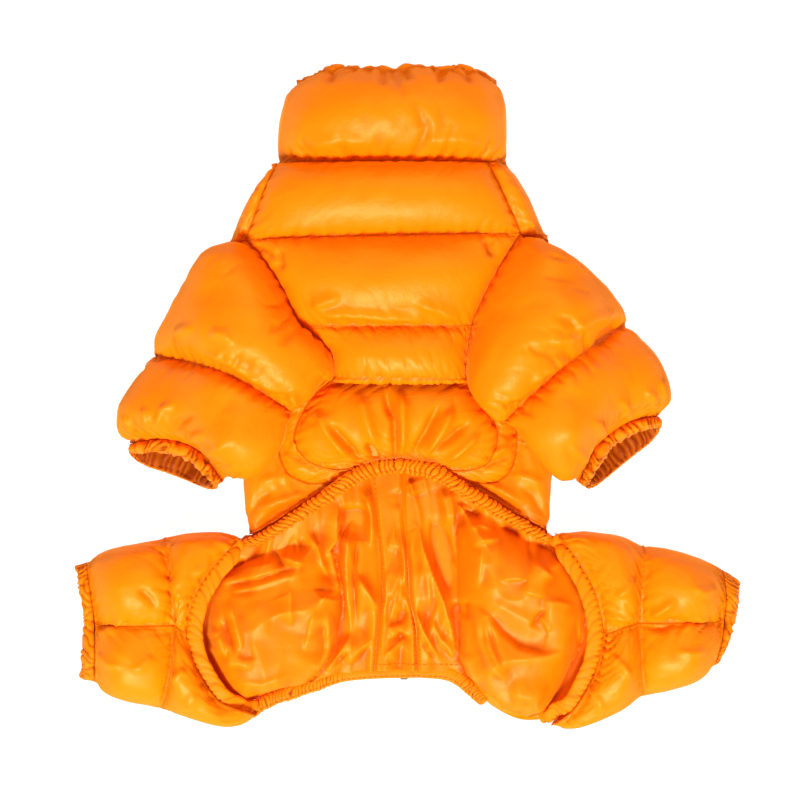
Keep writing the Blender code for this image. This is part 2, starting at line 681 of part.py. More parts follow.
def build_lining(side):
    """Thin lining over the rump padding, running on below the arch into the body."""
    plan = rump_plan(side)[1:, LINING_FIRST_COLUMN[side]:]
    inside = FACING["x_" + side]
    sign = -1 if side == "left" else 1
    plan[:, 0, 0] = inside + sign * SEAM_GAP
    ahead = []
    for y, x_out in LINING_FRONT[side]:
        x = np.linspace(inside + sign * SEAM_GAP, x_out, plan.shape[1])
        ahead.append(np.column_stack([x, np.full(len(x), float(y))]))
    plan = np.concatenate([np.array(ahead), plan])
    z = puff_z(side, plan[..., 0], plan[..., 1]) + 1.3
    z[:len(ahead)] += 0.6
    under = np.dstack([plan, z])
    over = np.dstack([plan, z + LINING_WALL])
    add_wall("rump_lining_" + side, over, under, "lining")


def build_zip_facing():
    rows = np.linspace(FACING["y_front"], FACING["y_rear"], 9)
    columns = np.array((FACING["x_left"] + SEAM_GAP / 2, -7.0, FACING["x_right"] - SEAM_GAP / 2))
    plan = np.stack(np.meshgrid(columns, rows), axis=-1)
    lift = np.where(rows > RUMP_START_Y, 1.9, 1.3)[:, None] + np.zeros(len(columns))
    z = RUMP_PAD + lift
    add_wall("zip_facing", np.dstack([plan, z + LINING_WALL]), np.dstack([plan, z]), "lining")


def build_tail_hem():
    points = [(x, y, TAIL_HEM_Z) for x, y in TAIL_HEM]
    add_rope("tail_hem", points, TAIL_HEM_RADIUS, "elastic")


def add_box(name, low, high, colour, roughness=0.42, metallic=0.0):
    mesh = bpy.data.meshes.new(name)
    shaped = bmesh.new()
    bmesh.ops.create_cube(shaped, size=1.0)
    size = (Vector(high) - Vector(low)) * MM
    bmesh.ops.scale(shaped, vec=size, verts=shaped.verts)
    bmesh.ops.translate(shaped, vec=(Vector(high) + Vector(low)) * MM / 2, verts=shaped.verts)
    shaped.to_mesh(mesh)
    shaped.free()
    return add_object(name, mesh, colour, roughness, metallic)


def add_rod(name, radius, half_length, centre):
    """Cylinder along X, as a cutter or as a piece to be joined."""
    mesh = bpy.data.meshes.new(name)
    shaped = bmesh.new()
    bmesh.ops.create_cone(shaped, cap_ends=True, segments=20, radius1=radius * MM, radius2=radius * MM,
                          depth=2 * half_length * MM)
    bmesh.ops.rotate(shaped, matrix=TURN_TO_X, verts=shaped.verts)
    bmesh.ops.translate(shaped, vec=Vector(centre) * MM, verts=shaped.verts)
    shaped.to_mesh(mesh)
    shaped.free()
    obj = bpy.data.objects.new(name, mesh)
    CUTTERS.objects.link(obj)
    obj.hide_render = True
    obj.display_type = "WIRE"
    return obj


def join_with(obj, tool, operation):
    step = obj.modifiers.new(operation.lower() + "_" + tool.name, "BOOLEAN")
    step.object = tool
    step.operation = operation
    step.solver = "EXACT"


def build_zip():
    add_box("zip_chain", (ZIP_X - ZIP["half_width"], ZIP["end_y"], ZIP["z_low"]),
            (ZIP_X + ZIP["half_width"], ZIP["top_y"], ZIP["z_high"]), "tape")


def build_slider():
    """Slider body with two lugs below it that carry the pull's pin."""
    front = ZIP["end_y"] - SEAM_GAP
    slider = add_box("zip_slider", (ZIP_X - SLIDER["half_width"], front - SLIDER["length"], SLIDER["z_low"]),
                     (ZIP_X + SLIDER["half_width"], front, SLIDER["z_high"]), "metal", 0.35, 1.0)
    for sign in (-1, 1):
        edges = sorted((ZIP_X + sign * LUG["inner"], ZIP_X + sign * LUG["outer"]))
        lug = add_box("slider_lug_{}".format("ab"[sign > 0]),
                      (edges[0], PULL_AXIS["y"] - LUG["half_length"], PULL_AXIS["z"] - 1.1),
                      (edges[1], PULL_AXIS["y"] + LUG["half_length"], SLIDER["z_low"] + 1.0), "metal")
        PARTS.objects.unlink(lug)
        CUTTERS.objects.link(lug)
        lug.hide_render = True
        lug.display_type = "WIRE"
        join_with(slider, lug, "UNION")
    pin = add_rod("slider_pin", PULL["pin"], LUG["inner"] + 0.6, (ZIP_X, PULL_AXIS["y"], PULL_AXIS["z"]))
    join_with(slider, pin, "UNION")


def build_pull():
    """Pull tab hanging on the slider's pin, its origin on that pin's axis."""
    outline = (
        (-PULL["half_width"], 0.0), (-PULL["half_width"], -4.0), (-PULL["grip_half"], -6.5),
        (-PULL["grip_half"], -PULL["reach"] + 1.4), (-PULL["grip_half"] + 1.4, -PULL["reach"]),
        (PULL["grip_half"] - 1.4, -PULL["reach"]), (PULL["grip_half"], -PULL["reach"] + 1.4),
        (PULL["grip_half"], -6.5), (PULL["half_width"], -4.0), (PULL["half_width"], 0.0),
    )
    slot = ((-1.4, -7.6), (1.4, -7.6), (1.4, -PULL["reach"] + 2.2), (-1.4, -PULL["reach"] + 2.2))
    curve = bpy.data.curves.new("zip_pull_outline", "CURVE")
    curve.dimensions = "2D"
    curve.fill_mode = "BOTH"
    curve.extrude = PULL["thickness"] / 2 * MM
    for ring in (outline, slot):
        spline = curve.splines.new("POLY")
        spline.points.add(len(ring) - 1)
        for point, (x, y) in zip(spline.points, ring):
            point.co = (x * MM, y * MM, 0.0, 1.0)
        spline.use_cyclic_u = True
    flat = bpy.data.objects.new("zip_pull_outline", curve)
    PARTS.objects.link(flat)
    bpy.context.view_layer.update()
    mesh = bpy.data.meshes.new_from_object(flat.evaluated_get(bpy.context.evaluated_depsgraph_get()))
    welded = bmesh.new()
    welded.from_mesh(mesh)
    bmesh.ops.remove_doubles(welded, verts=welded.verts, dist=1e-6)
    welded.to_mesh(mesh)
    welded.free()
    bpy.data.objects.remove(flat, do_unlink=True)
    axis = (ZIP_X, PULL_AXIS["y"], PULL_AXIS["z"])
    pull = add_object("zip_pull", mesh, "metal", 0.35, 1.0)
    pull.location = Vector(axis) * MM
    join_with(pull, add_rod("pull_eye", PULL["eye"], PULL["half_width"], axis), "UNION")
    join_with(pull, add_rod("pull_hole", PULL["hole"], PULL["half_width"] + 1, axis), "DIFFERENCE")


clear_scene()
PARTS = make_collection("dog_jumpsuit")
CUTTERS = make_collection("cutters")
TURN_TO_X = Vector((0, 0, 1)).rotation_difference(Vector((1, 0, 0))).to_matrix()

build_collar()
build_front()
build_belly()
for garment_side in ("left", "right"):
    build_back(garment_side)
    build_gusset(garment_side)
    build_sleeve(garment_side)
    build_sleeve_cuff(garment_side)
    build_leg(garment_side)
    build_leg_cuff(garment_side)
    build_leg_binding(garment_side)
    build_rump(garment_side)
    build_lining(garment_side)
build_belly_elastic()
build_zip_facing()
build_tail_hem()
build_zip()
build_slider()
build_pull()
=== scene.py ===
# Padded dog jumpsuit lying on its back: shell, linings, elastics, stitching and back zip.
# Every shape is worked out in millimetres and put into its mesh in metres.
import math

import bpy
import numpy as np
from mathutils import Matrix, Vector


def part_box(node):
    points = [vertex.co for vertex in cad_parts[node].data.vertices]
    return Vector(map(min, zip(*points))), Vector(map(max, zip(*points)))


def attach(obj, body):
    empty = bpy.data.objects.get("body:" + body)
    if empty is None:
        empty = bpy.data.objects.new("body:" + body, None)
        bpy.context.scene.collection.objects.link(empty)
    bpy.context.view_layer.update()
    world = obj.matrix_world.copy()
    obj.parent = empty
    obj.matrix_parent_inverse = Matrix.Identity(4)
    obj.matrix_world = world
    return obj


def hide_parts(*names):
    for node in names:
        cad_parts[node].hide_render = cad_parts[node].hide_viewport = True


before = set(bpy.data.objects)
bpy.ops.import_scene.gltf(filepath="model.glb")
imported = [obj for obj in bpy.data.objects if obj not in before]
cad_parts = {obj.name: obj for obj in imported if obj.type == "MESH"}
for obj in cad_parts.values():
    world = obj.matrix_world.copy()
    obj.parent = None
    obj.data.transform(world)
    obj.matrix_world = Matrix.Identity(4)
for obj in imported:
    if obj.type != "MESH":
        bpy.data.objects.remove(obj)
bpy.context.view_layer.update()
print("frame loaded:", len(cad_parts), "nodes")

mm = 0.001
seamGap = 0.1           # between neighbouring pieces
edgeWall = 2.6          # cloth thickness where a seam flattens it
sideZ = 12.5            # height of the widest line of a rounded side
floorRest = 0.15        # the lowest that any cloth lies


def hexColour(code):
    # sRGB hex to linear RGBA
    parts = [int(code[i:i + 2], 16) / 255 for i in (1, 3, 5)]
    return (*[p / 12.92 if p <= 0.04045 else ((p + 0.055) / 1.055) ** 2.4 for p in parts], 1.0)


def plug(tree, node, inputs):
    # an input is a value or another node's output
    for key, value in inputs.items():
        if isinstance(value, bpy.types.NodeSocket):
            tree.links.new(value, node.inputs[key])
        else:
            node.inputs[key].default_value = value


def addNode(tree, kind, inputs=None, **settings):
    # one node with its settings and links
    node = tree.nodes.new("ShaderNode" + kind)
    for key, value in settings.items():
        setattr(node, key, value)
    plug(tree, node, inputs or {})
    return node


def newMaterial(name):
    material = bpy.data.materials.new(name)
    material.use_nodes = True
    tree = material.node_tree
    tree.nodes.clear()
    shader = addNode(tree, "BsdfPrincipled")
    addNode(tree, "OutputMaterial", {"Surface": shader.outputs[0]})
    return material, tree, shader


def bandScale(size):
    # the Wave texture's scale that gives one band every size millimetres
    return 1000 / size / 20 * math.pi


nylonLook = {
    "bright": "#FB9204", "deep": "#F68803", "paintedFoldShade": "#B84600", "paintedCrestHighlight": "#FFA21A", "roughness": 0.44,
    "ior": 1.5, "shine": 0.4, "shineTint": "#FFDCA6", "glow": 0.07, "mirror": True,
    "sheen": 0.5, "sheenRoughness": 0.35, "sheenTint": "#FFC24A", "paintedGlowTint": "#FF5A00", "cloudMm": 38.0,
    "crinkleMm": 5.0, "crinkleDepth": 0.10, "threadMm": 0.7, "threadDepth": 0.015,
}


def nylonTaffeta(name, look):
    # Down-proof nylon taffeta, woven of flat filament yarn and calendered on one side: it
    # gives a smooth, slightly waxy skin with broad soft shine and a fine crinkle.
    # UV is in metres of cloth. Its 0.1 mm threads can't show, so they are drawn at threadMm.
    material, tree, shader = newMaterial(name)
    uv = addNode(tree, "UVMap", uv_map="cloth").outputs[0]
    crinkle = addNode(tree, "TexNoise", {"Vector": uv, "Scale": 1000 / look["crinkleMm"], "Detail": 3.0,
                                         "Roughness": 0.55})
    cloudy = addNode(tree, "TexNoise", {"Vector": uv, "Scale": 1000 / look["cloudMm"], "Detail": 2.0})
    tone = addNode(tree, "Mix", {"Factor": cloudy.outputs[0], 6: hexColour(look["deep"]),
                                 7: hexColour(look["bright"])}, data_type="RGBA")
    # painted shade and painted highlight: the folds are painted darker and redder, for the light that bounces
    # between their sides, and the crests are painted paler
    depth = addNode(tree, "Attribute", attribute_name="paintedShadeDepth")
    for deepest, key in ((-1.0, "paintedCrestHighlight"), (1.0, "paintedFoldShade")):
        share = addNode(tree, "MapRange", {"Value": depth.outputs["Fac"], "From Max": deepest})
        tone = addNode(tree, "Mix", {"Factor": share.outputs[0], 6: tone.outputs[2],
                                     7: hexColour(look[key])}, data_type="RGBA")
    bands = {"Vector": uv, "Scale": bandScale(look["threadMm"]), "Distortion": 0.6, "Detail": 1.0}
    threads = [addNode(tree, "TexWave", bands, wave_type="BANDS", bands_direction=way) for way in "XY"]
    weave = addNode(tree, "Math", {0: threads[0].outputs[1], 1: threads[1].outputs[1]}, operation="ADD")
    soft = addNode(tree, "Bump", {"Height": crinkle.outputs[0], "Strength": 1.0,
                                  "Distance": look["crinkleDepth"] * mm * 3})
    fine = addNode(tree, "Bump", {"Height": weave.outputs[0], "Strength": 0.35,
                                  "Distance": look["threadDepth"] * mm, "Normal": soft.outputs[0]})
    plug(tree, shader, {
        "Base Color": tone.outputs[2], "Normal": fine.outputs[0], "Roughness": look["roughness"],
        "IOR": look["ior"], "Specular IOR Level": look["shine"],
        "Specular Tint": hexColour(look["shineTint"]),
        # the filaments scatter light that only grazes them, so the sides stay orange
        "Sheen Weight": look["sheen"], "Sheen Roughness": look["sheenRoughness"],
        "Sheen Tint": hexColour(look["sheenTint"]),
        # a painted glow: a weak orange emission lifts the shade in the folds so that they don't go black
        "Emission Color": hexColour(look["paintedGlowTint"]), "Emission Strength": look["glow"]})
    if look["mirror"]:
        # a crinkled skin loses its mirror at low angles, where a smooth sheet would be brightest
        angle = addNode(tree, "LayerWeight", {"Blend": 0.5, "Normal": fine.outputs[0]})
        gloss = addNode(tree, "MapRange", {"Value": angle.outputs["Facing"], "From Min": 0.12,
                                           "From Max": 0.6, "To Min": look["shine"] * 1.15, "To Max": 0.02})
        plug(tree, shader, {"Specular IOR Level": gloss.outputs[0]})
    return material


shellNylon = nylonTaffeta("downproofNylonTaffeta", nylonLook)
# the lining is painted a little darker than the shell, a painted shade for the cloth between the thighs; its
# roughness and crinkle are its own
liningNylon = nylonTaffeta("liningTaffetaWithPaintedShade", dict(
    nylonLook, bright="#F68A04", deep="#ED7900", paintedFoldShade="#B04000", paintedCrestHighlight="#FFA020", roughness=0.46,
    crinkleMm=7.0, crinkleDepth=0.08, shine=0.4))
gatheredNylon = nylonTaffeta("gatheredNylonOnElastic", dict(
    nylonLook, bright="#F88C02", deep="#F18002", paintedFoldShade="#8A3000", paintedCrestHighlight="#FFA620", roughness=0.5,
    crinkleMm=2.4, crinkleDepth=0.08, shine=0.25, mirror=False))


def twoTone(name, look):
    # two close tones in fine slanting bands or a mottle, on Object coordinates in millimetres
    material, tree, shader = newMaterial(name)
    place = addNode(tree, "TexCoord").outputs["Object"]
    if "bands" in look:
        pattern = addNode(tree, "TexWave", {"Vector": place, "Scale": bandScale(look["bands"]),
                                            "Distortion": look.get("stray", 0.0)},
                          wave_type="BANDS", bands_direction="DIAGONAL").outputs[1]
    else:
        pattern = addNode(tree, "TexNoise", {"Vector": place, "Scale": 1000 / look["mottle"],
                                             "Detail": look["detail"]}).outputs[0]
    tone = addNode(tree, "Mix", {"Factor": pattern, 6: hexColour(look["low"]), 7: hexColour(look["high"])},
                   data_type="RGBA")
    plug(tree, shader, dict(look["finish"], **{"Base Color": tone.outputs[2]}))
    if "relief" in look:
        strength, height = look["relief"]
        bump = addNode(tree, "Bump", {"Height": pattern, "Strength": strength, "Distance": height * mm})
        plug(tree, shader, {"Normal": bump.outputs[0]})
    return material


# spun polyester thread, a little darker and duller than the cloth; its twist is drawn at 0.6 mm
spunThread = twoTone("spunPolyesterThread", {
    "bands": 0.6, "low": "#DE6200", "high": "#FF8C10",
    "finish": {"Roughness": 0.8, "Specular IOR Level": 0.15}})
# a herringbone twill tape, matt, with its 0.5 mm yarns drawn at 0.9 mm so that they show
tapeTwill = twoTone("wovenPolyesterTape", {
    "bands": 0.9, "stray": 0.4, "low": "#D85A00", "high": "#F58A0A", "relief": (0.5, 0.1),
    "finish": {"Roughness": 0.75}})
# nylon monofilament pressed into teeth: smooth, with a small sharp shine
toothNylon = twoTone("mouldedNylonTeeth", {
    "mottle": 2.0, "detail": 2.0, "low": "#E06400", "high": "#F5860A",
    "finish": {"Roughness": 0.35, "IOR": 1.53}})
# die-cast zinc, tumbled and plated a dark gun metal: soft reflections, paler where it rubs
platedZinc = twoTone("platedZincCasting", {
    "mottle": 1.8, "detail": 3.0, "low": "#4A4440", "high": "#8C847A", "relief": (0.2, 0.05),
    "finish": {"Metallic": 1.0, "Roughness": 0.35}})
print("materials made")

# cloth surfaces
lattice = np.random.default_rng(11).random((32, 32, 32)) * 2 - 1


def softNoise(points, size, shift=0.0):
    # -1 to 1: random numbers on a cubic lattice, blended with a smooth step between corners
    place = np.asarray(points, float) / size + shift
    cell = np.floor(place).astype(int)
    part = place - cell
    part = part * part * (3 - 2 * part)
    total = np.zeros(place.shape[:-1])
    for corner in np.ndindex(2, 2, 2):
        at = (cell + corner) % 32
        weight = np.prod(np.where(corner, part, 1 - part), axis=-1)
        total += weight * lattice[at[..., 0], at[..., 1], at[..., 2]]
    return total


def noiseLine(values, size, shift=0.0):
    # the same noise along one measure
    values = np.asarray(values, float)
    place = np.stack([values, values * 0, values * 0], -1)
    return softNoise(place, (size, 1, 1), (shift, shift * 1.7 + 0.5, 0.5))


def easeThrough(places, values, at):
    # monotone cubic curve through values (first axis) at rising places
    places, values, at = np.asarray(places, float), np.asarray(values, float), np.asarray(at, float)
    flat = values.reshape(len(values), -1)
    h = np.diff(places)[:, None]
    rise = np.diff(flat, axis=0) / h
    slope = np.zeros_like(flat)
    slope[0], slope[-1] = rise[0], rise[-1]
    if len(places) > 2:
        a, b = rise[:-1], rise[1:]
        wa, wb = 2 * h[1:] + h[:-1], h[1:] + 2 * h[:-1]
        same = a * b > 0
        safe = np.where(same, wa / np.where(a == 0, 1, a) + wb / np.where(b == 0, 1, b), 1)
        slope[1:-1] = np.where(same, (wa + wb) / safe, 0)
        for end, near, far in ((0, 0, 1), (-1, -1, -2)):
            free = ((2 * h[near] + h[far]) * rise[near] - h[near] * rise[far]) / (h[near] + h[far])
            free = np.where(free * rise[near] <= 0, 0, free)
            slope[end] = np.where(np.abs(free) > 3 * np.abs(rise[near]), 3 * rise[near], free)
    k = np.clip(np.searchsorted(places, at, "right") - 1, 0, len(places) - 2)
    t = ((at - places[k]) / h[k, 0])[:, None]
    y = (flat[k] * (1 + 2 * t) * (1 - t) ** 2 + slope[k] * h[k] * t * (1 - t) ** 2
         + flat[k + 1] * t * t * (3 - 2 * t) + slope[k + 1] * h[k] * t * t * (t - 1))
    return y.reshape((len(at),) + values.shape[1:])


def bulge(across, power=2.6):
    # 0 at both edges (-1 and 1), 1 in the middle
    return np.clip(1.0 - np.abs(across) ** power, 0, 1) ** 0.5


def spacedShares(count, crowd=0.45):
    # 0 to 1, closer together near both ends
    t = np.linspace(0, 1, count)
    return (1 - crowd) * t + crowd * (0.5 - 0.5 * np.cos(np.pi * t))


def timesThree(length, step):
    # how many steps fit, as a multiple of three, because the lining uses every third line
    return max(3, 3 * int(math.ceil(length / step / 3)))


def throughRows(outerRows, innerRows, seams, step):
    # Control rows to fine rows: one smooth run from each seam row to the next, so that the
    # cloth creases only at the seams. Also each fine row's distance from its nearest seam.
    outer, inner, seamAt = [], [], [0]
    for first, last in zip(seams[:-1], seams[1:]):
        run = outerRows[first:last + 1]
        hops = np.linalg.norm(np.diff(run, axis=0), axis=2).mean(1)
        places = np.concatenate([[0], np.cumsum(np.maximum(hops, 0.2))])
        count = timesThree(places[-1], step)
        at = places[-1] * spacedShares(count + 1)
        start = 0 if first == seams[0] else 1
        outer.append(easeThrough(places, run, at)[start:])
        inner.append(easeThrough(places, innerRows[first:last + 1], at)[start:])
        seamAt.append(seamAt[-1] + count)
    return np.concatenate(outer), np.concatenate(inner), seamAt


def unit(vectors):
    return vectors / np.maximum(np.linalg.norm(vectors, axis=-1, keepdims=True), 1e-9)


def arcAlong(line):
    # distance gone along the first axis of a line or grid, from 0
    hops = np.linalg.norm(np.diff(line, axis=0), axis=-1)
    return np.concatenate([hops[:1] * 0, np.cumsum(hops, 0)])


def gridNormals(grid, tube=False):
    # cross product of the two grid directions
    across = np.roll(grid, -1, 1) - np.roll(grid, 1, 1) if tube else np.gradient(grid, axis=1)
    return unit(np.cross(across, np.gradient(grid, axis=0)))


def clothOf(outerRows, innerRows, seams, tube=False, step=1.3, gap=True):
    # The fine cloth of one sewn piece: its outer and inner face, outward normals, the
    # distance of each point from the seams that run across it and from its side seams, and
    # its place along and across the piece, all in millimetres.
    outerRows, innerRows = np.array(outerRows, float), np.array(innerRows, float)
    outer, inner, seamAt = throughRows(outerRows, innerRows, seams, step)
    normal = gridNormals(outer, tube)
    flip = bool((normal * (outer - inner)).sum() < 0)
    normal = -normal if flip else normal
    along, across = arcAlong(outer), arcAlong(outer.transpose(1, 0, 2)).T
    fromSeam = np.min([np.abs(along - along[k]) for k in seamAt], axis=0)
    fromSide = np.full(across.shape, 99.0) if tube else np.minimum(across, across[:, -1:] - across)
    cloth = {"outer": outer, "inner": inner, "normal": normal, "seamAt": seamAt, "tube": tube, "flip": flip,
             "along": along, "across": across, "fromSeam": fromSeam, "fromSide": fromSide}
    if gap:
        pullBack(cloth)
    return cloth


def pullBack(cloth):
    # each border goes in by half a seam gap, level
    borders = [((0,), (1,)), ((-1,), (-2,))]
    if not cloth["tube"]:
        borders += [((slice(None), 0), (slice(None), 1)), ((slice(None), -1), (slice(None), -2))]
    for edge, beside in borders:
        step = cloth["outer"][beside] - cloth["outer"][edge]
        step[:, 2] = 0
        for layer in ("outer", "inner"):
            cloth[layer][edge] += unit(step) * (seamGap / 2)


def onFloor(grid, above=0.0):
    grid[..., 2] = np.maximum(grid[..., 2], floorRest + above)
    return grid


def smoothStep(value, low, high):
    t = np.clip((value - low) / (high - low), 0, 1)
    return t * t * (3 - 2 * t)


def puckered(distance, place, seed, spacing, depth, reach, round=0.7):
    # Small gathers square to a seam: narrow troughs at uneven spacing, each with its own
    # depth and reach, fading away from the stitches.
    phase = place / spacing + 0.55 * noiseLine(place, spacing * 2.3, seed)
    own = 0.55 + 0.45 * noiseLine(np.floor(phase) * 7.3, 1.0, seed + 3)
    trough = np.abs(np.sin(np.pi * phase)) ** round - 1
    far = reach * (0.3 + 1.5 * own ** 2)
    return depth * own * trough * np.exp(-(distance / far) ** 1.3)


def facets(points, size, seed):
    # folded noise (1 - 2.4 |n|): crisp crests between hollows, as in pressed and crumpled cloth
    return 1 - 2.4 * np.abs(softNoise(points, size, seed))


def nearPath(points, path):
    # how near each point is to a path in plan, on which side (left is positive), and how far
    # along the path it lies, from 0 to 1
    path = np.reshape(path, (-1, 2)).astype(float)
    start, run = path[:-1], np.diff(path, axis=0)
    length = np.linalg.norm(run, axis=1)
    offset = points[..., None, :2] - start
    t = np.clip((offset * run).sum(-1) / length ** 2, 0, 1)
    distance = np.linalg.norm(offset - t[..., None] * run, axis=-1)
    nearest = distance.argmin(-1)[..., None]
    cross = run[:, 0] * offset[..., 1] - run[:, 1] * offset[..., 0]
    gone = np.concatenate([[0], np.cumsum(length)[:-1]])
    share = (gone[nearest[..., 0]] + np.take_along_axis(t * length, nearest, -1)[..., 0]) / length.sum()
    return distance.min(-1), np.take_along_axis(cross, nearest, -1)[..., 0], share


def foldRelief(points, folds, lean=0.0):
    # Soft ridges (height above 0) and troughs: height * exp(-(distance / width) ^ ease), widest
    # in the middle of the path and faded at both ends. Each fold is its width, height and
    # ease, then x, y of its path. With a lean, one side runs out that many times wider than
    # the other, left and right by turns, as in thin pressed cloth.
    total = np.zeros(points.shape[:-1])
    for turn, (width, height, ease, *path) in enumerate(folds):
        distance, side, share = nearPath(points, path)
        fade = smoothStep(share, 0.0, 0.3) * (1 - smoothStep(share, 0.65, 1.0))
        wide = width * (0.55 + 0.45 * fade)
        if lean:
            wide = wide * np.where(side * (1 if turn % 2 else -1) > 0, lean, 0.8)
        total += height * fade * np.exp(-(distance / wide) ** ease)
    return total


foldStrength, plainEase = 2.0, 1.7


def dress(cloth, look, folds):
    # Moves the cloth along its normals: slow unevenness and puckers at the seams. The
    # seams stay where they are, and the listed folds wait until it is puffed.
    points, seed = cloth["outer"], look["seed"]
    lift = look["uneven"] * softNoise(points, (34, 26, 30), seed * 0.37)
    lift += look["ripple"] * softNoise(points, (11, 9, 12), seed * 0.71)
    lift *= smoothStep(np.minimum(cloth["fromSeam"], cloth["fromSide"]), 0.0, 4.0)
    wander = 2.0 * softNoise(points, 13.0, seed)
    edges = [(cloth["fromSeam"], cloth["across"], seed)]
    edges += [] if cloth["tube"] else [(cloth["fromSide"], cloth["along"], seed + 5)]
    for away, place, own in edges:
        lift += puckered(away, place + wander, own, look["spacing"], look["depth"],
                         look["reach"]) * smoothStep(away, 0, 1.2)
    cloth["outer"] = onFloor(points + cloth["normal"] * lift[..., None])
    cloth["folds"] = [(width, height, plainEase, *path) for width, height, *path in folds]
    cloth["seed"] = seed
    cloth["puckers"] = plainPuckers + tuple(look.get("puckers", ()))
    cloth["shadow"] = look.get("shadow", {})


plainPuckers = (
    {"spacing": 4.0, "depth": 1.5, "reach": 4.5, "round": 0.8},
    {"spacing": 11.0, "depth": 1.5, "reach": 11.0, "round": 1.5},
)


def seamPuckers(cloth, rules):
    # Gathers square to the seams; a rule without seams is for all of them and the sides too.
    points, total = cloth["outer"], 0.0
    for turn, rule in enumerate(rules):
        size = {key: value for key, value in rule.items() if key not in ("seams", "sides")}
        wander = 2.5 * softNoise(points, 13.0, cloth["seed"] + turn)
        skew = 0.7 * softNoise(points, 21.0, cloth["seed"] + turn + 0.5)
        for place, row in enumerate(cloth["seamAt"]):
            if place in rule.get("seams", (place,)):
                away = np.abs(cloth["along"] - cloth["along"][row])
                total = total + puckered(away, cloth["across"] + wander + skew * away,
                                         cloth["seed"] + 3 * place + turn, **size)
        if not cloth["tube"] and rule.get("sides", "seams" not in rule):
            for away in (cloth["across"], cloth["across"][:, -1:] - cloth["across"]):
                total = total + puckered(away, cloth["along"] + wander + skew * away,
                                         cloth["seed"] + 11 + turn, **size)
    return total


def creased(cloth):
    # After puffing: puckers at the seams, a slight crumple, and the listed folds.
    points, border = cloth["outer"], np.minimum(cloth["fromSeam"], cloth["fromSide"])
    # painted shade: a dark line along every seam and side
    cloth["deep"] = (0.5 + 0.3 * softNoise(points, 5.0, cloth["seed"])) * np.exp(-(border / 0.8) ** 2)
    for place, reach in cloth["shadow"].items():
        # little light reaches the cloth beside a casing or below a hem
        away = np.abs(cloth["along"] - cloth["along"][cloth["seamAt"][place]])
        near = (0.62 + 0.3 * softNoise(points, 8.0, cloth["seed"] + 4)) * np.exp(-(away / reach) ** 1.3)
        cloth["deep"] = np.maximum(cloth["deep"], near)
    lift = seamPuckers(cloth, cloth["puckers"])
    lift += 0.16 * facets(points, (19, 16, 19), cloth["seed"]) + 0.06 * facets(points, 7.0, cloth["seed"] + 2)
    if len(cloth["folds"]):
        upward = smoothStep(cloth["normal"][..., 2], 0.0, 0.35)
        lift += foldRelief(points, cloth["folds"]) * upward * foldStrength
    cloth["outer"] = onFloor(points + cloth["normal"] * (lift * smoothStep(border, 0, 1.3))[..., None])


def rolledRim(cloth, count=6):
    # rounds the last border over from the outer face to the inner one in a half circle
    a, b = cloth["outer"][-1], cloth["inner"][-1]
    centre, half = (a + b) / 2, np.linalg.norm(a - b, axis=1, keepdims=True) / 2
    ahead = unit(a - cloth["outer"][-2])
    turn = np.pi * np.arange(1, count + 1)[:, None, None] / (count + 1)
    rim = onFloor(centre + (a - centre) * np.cos(turn) + ahead * half * np.sin(turn))
    cloth["outer"] = np.concatenate([cloth["outer"], rim])
    cloth["inner"] = np.concatenate([cloth["inner"], np.repeat(b[None], count, 0)])
    cloth["deep"] = np.concatenate([cloth["deep"], np.zeros((count, len(a)))])


def boxMean(field, reach, wrap):
    # running mean over 2 * reach + 1 points, twice in each direction, round the ring on a tube
    for axis in (0, 1, 0, 1):
        pad = [(0, 0)] * field.ndim
        pad[axis] = (reach + 1, reach)
        total = np.cumsum(np.pad(field, pad, mode="wrap" if wrap and axis else "edge"), axis=axis)
        size = field.shape[axis]
        ahead = np.take(total, np.arange(size) + 2 * reach + 1, axis=axis)
        field = (ahead - np.take(total, np.arange(size), axis=axis)) / (2 * reach + 1)
    return field


def foldShade(grid, normal, tube, reach=4, full=1.0, dark=0.24, pale=0.4):
    # height below the nearby mean surface, which paints the colour: up to 0.24 of painted shade in a valley,
    # down to -0.4 of painted highlight on a crest
    high = ((grid - boxMean(grid, reach, tube)) * normal).sum(-1)
    low = np.clip((boxMean(high, 2 * reach, tube) - high) / full, -1, 1)
    return np.where(low > 0, dark, pale) * low


def quadsOf(rows, columns, tube=True, flip=False):
    # the four-sided faces of a grid of points; a tube's last column joins its first
    row, column = np.indices((rows - 1, columns if tube else columns - 1))
    after = (column + 1) % columns
    ring = [row * columns + column, row * columns + after, (row + 1) * columns + after,
            (row + 1) * columns + column]
    return np.stack(ring[::-1] if flip else ring, -1).reshape(-1, 4)


def meshOf(name, points, faces, material):
    # points in millimetres to a smooth mesh in metres
    mesh = bpy.data.meshes.new(name)
    mesh.from_pydata((points.reshape(-1, 3) * mm).tolist(), [], faces)
    mesh.shade_smooth()
    mesh.materials.append(material)
    return mesh


def markCloth(mesh, uv, depth):
    # the place on the laid cloth as UV, and how much painted shade (1, deep in a fold) or painted highlight
    # (-1, high on a crest) each point gets
    uv, depth = (np.concatenate([part.ravel() for part in parts]) for parts in (uv, depth))
    mesh.uv_layers.new(name="cloth").data.foreach_set("uv", uv * mm)
    mesh.attributes.new("paintedShadeDepth", "FLOAT", "POINT").data.foreach_set("value", depth)
    return mesh


